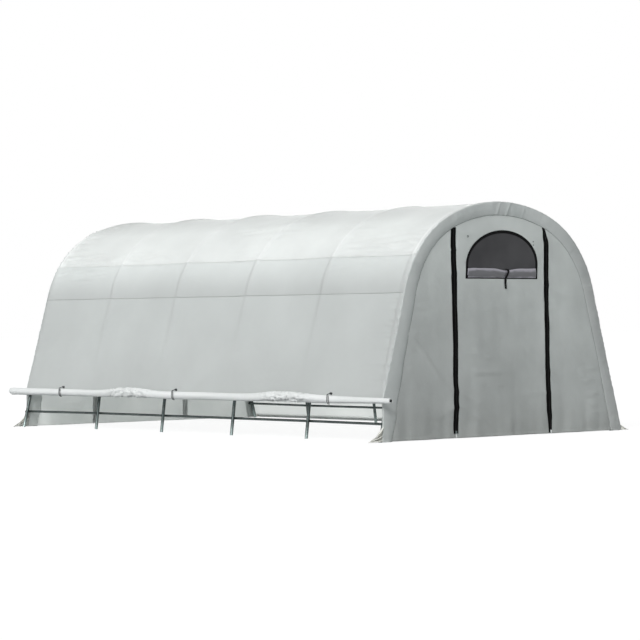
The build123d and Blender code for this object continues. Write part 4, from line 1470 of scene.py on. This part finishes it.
# where each tail's pleats start at the corner, how high they reach there, and where its toe comes down
tails = {"Open": {"root": 1.700, "height": 0.200, "reach": 0.200, "toe": 0.045, "pleats": 3.5, "depth": 0.013,
                  "face": 0.030, "slope": 0.2},
         "Closed": {"root": 1.822, "height": 0.075, "reach": 0.122, "toe": 0.012, "pleats": 1.5,
                    "depth": 0.006, "face": 0.036, "slope": math.tan(lean)}}


def tailPoint(out, up, side, facing):
    # Gathered cloth, drawn out from the corner and down to a flattened toe
    tail = tails["Open" if side < 0 else "Closed"]
    level = tail["height"] * up + 0.006
    edge = tail["root"] - level * tail["slope"]
    eased = out ** 1.15
    x = edge + tail["reach"] * eased * (1 - 0.25 * up)
    z = level + (0.006 + tail["toe"] * up - level) * (1 - (1 - eased) ** 1.25)
    pleat = math.sin(up * tail["pleats"] * 2 * math.pi + out * 1.5) * tail["depth"]
    pleat *= 0.25 + 1.1 * math.sin(math.pi * min(1.0, out * 1.1)) ** 0.8
    wobble = ripple(out * 5.0, up * 5.0 + side, 181.0 + facing) * tail["depth"] * 0.6
    z += ripple(out * 7.0, up * 3.0 + side, 183.0 + facing) * 0.006 * (1 - up)
    y = endRib(facing) + facing * (tail["face"] + 0.012 * math.sin(math.pi * out * 0.8) + pleat * 0.75 + wobble)
    return (side * x, y, max(0.002, z))  # clear of the ground


for end, facing in tunnelEnds:
    for side, kind in ((-1, "Open"), (1, "Closed")):
        piece = gridPiece(f"{end}Tail{kind}", 30, 44, lambda out, up: tailPoint(out, up, side, facing),
                          lambda out, up: (out * 0.14, up * 0.18), cloths["Gathered"], 0.0014,
                          outward=side * facing > 0)
        # one of the four stands for the corners' CAD node
        standing(piece, "band_fabric", *(["corner_tails"] if (end, kind) == ("front", "Open") else []))
print("corners made")

# Bolts where purlins and rails cross the ribs

seat = 0.0006  # from the tube's face to the middle of a washer
legSlopes = (0.1995, 0.132, 0.255)  # inward lean of the front, middle and rear legs, as run over rise
boltEnds = []
for node in ("ridge_purlin", "shoulder_purlin_left", "shoulder_purlin_right"):
    low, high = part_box(node)
    middle, radius = Vector(((low.x + high.x) / 2, 0, (low.z + high.z) / 2)), (high.x - low.x) / 2
    centre = Vector((0, 0, crownZ)) if abs(middle.x) < 0.1 else \
        Vector((math.copysign(shoulderX, middle.x), 0, shoulderZ))
    inward = (centre - middle).normalized()
    point = middle + inward * (radius + seat)
    boltEnds += [((point.x, y, point.z), tuple(inward)) for y in ribPlaces]
railLow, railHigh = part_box("base_rail_right")
railLevel, railDepth = (railLow.z + railHigh.z) / 2, railHigh.z - railLow.z
for number, y in enumerate(ribPlaces, 1):
    _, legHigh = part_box(f"legs_{number}")
    slope = math.atan(legSlopes[0 if number == 1 else 2 if number == 6 else 1])
    outer = legHigh.x - railLevel * math.tan(slope)
    inner = outer - (2 * tunnel["tubeRadius"] + railDepth + 0.001) / math.cos(slope)
    boltEnds += [((side * x, y, railLevel), (side * way * math.cos(slope), 0, way * math.sin(slope)))
                 for side in (-1, 1) for x, way in ((outer + seat, 1), (inner - seat, -1))]
alongLines("frameBolts", [boltEnds], bolts, boltSizes)
print("bolts made")

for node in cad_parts.values():
    if not node.hide_render:
        node.data.materials.clear()
        node.data.materials.append(zinc)
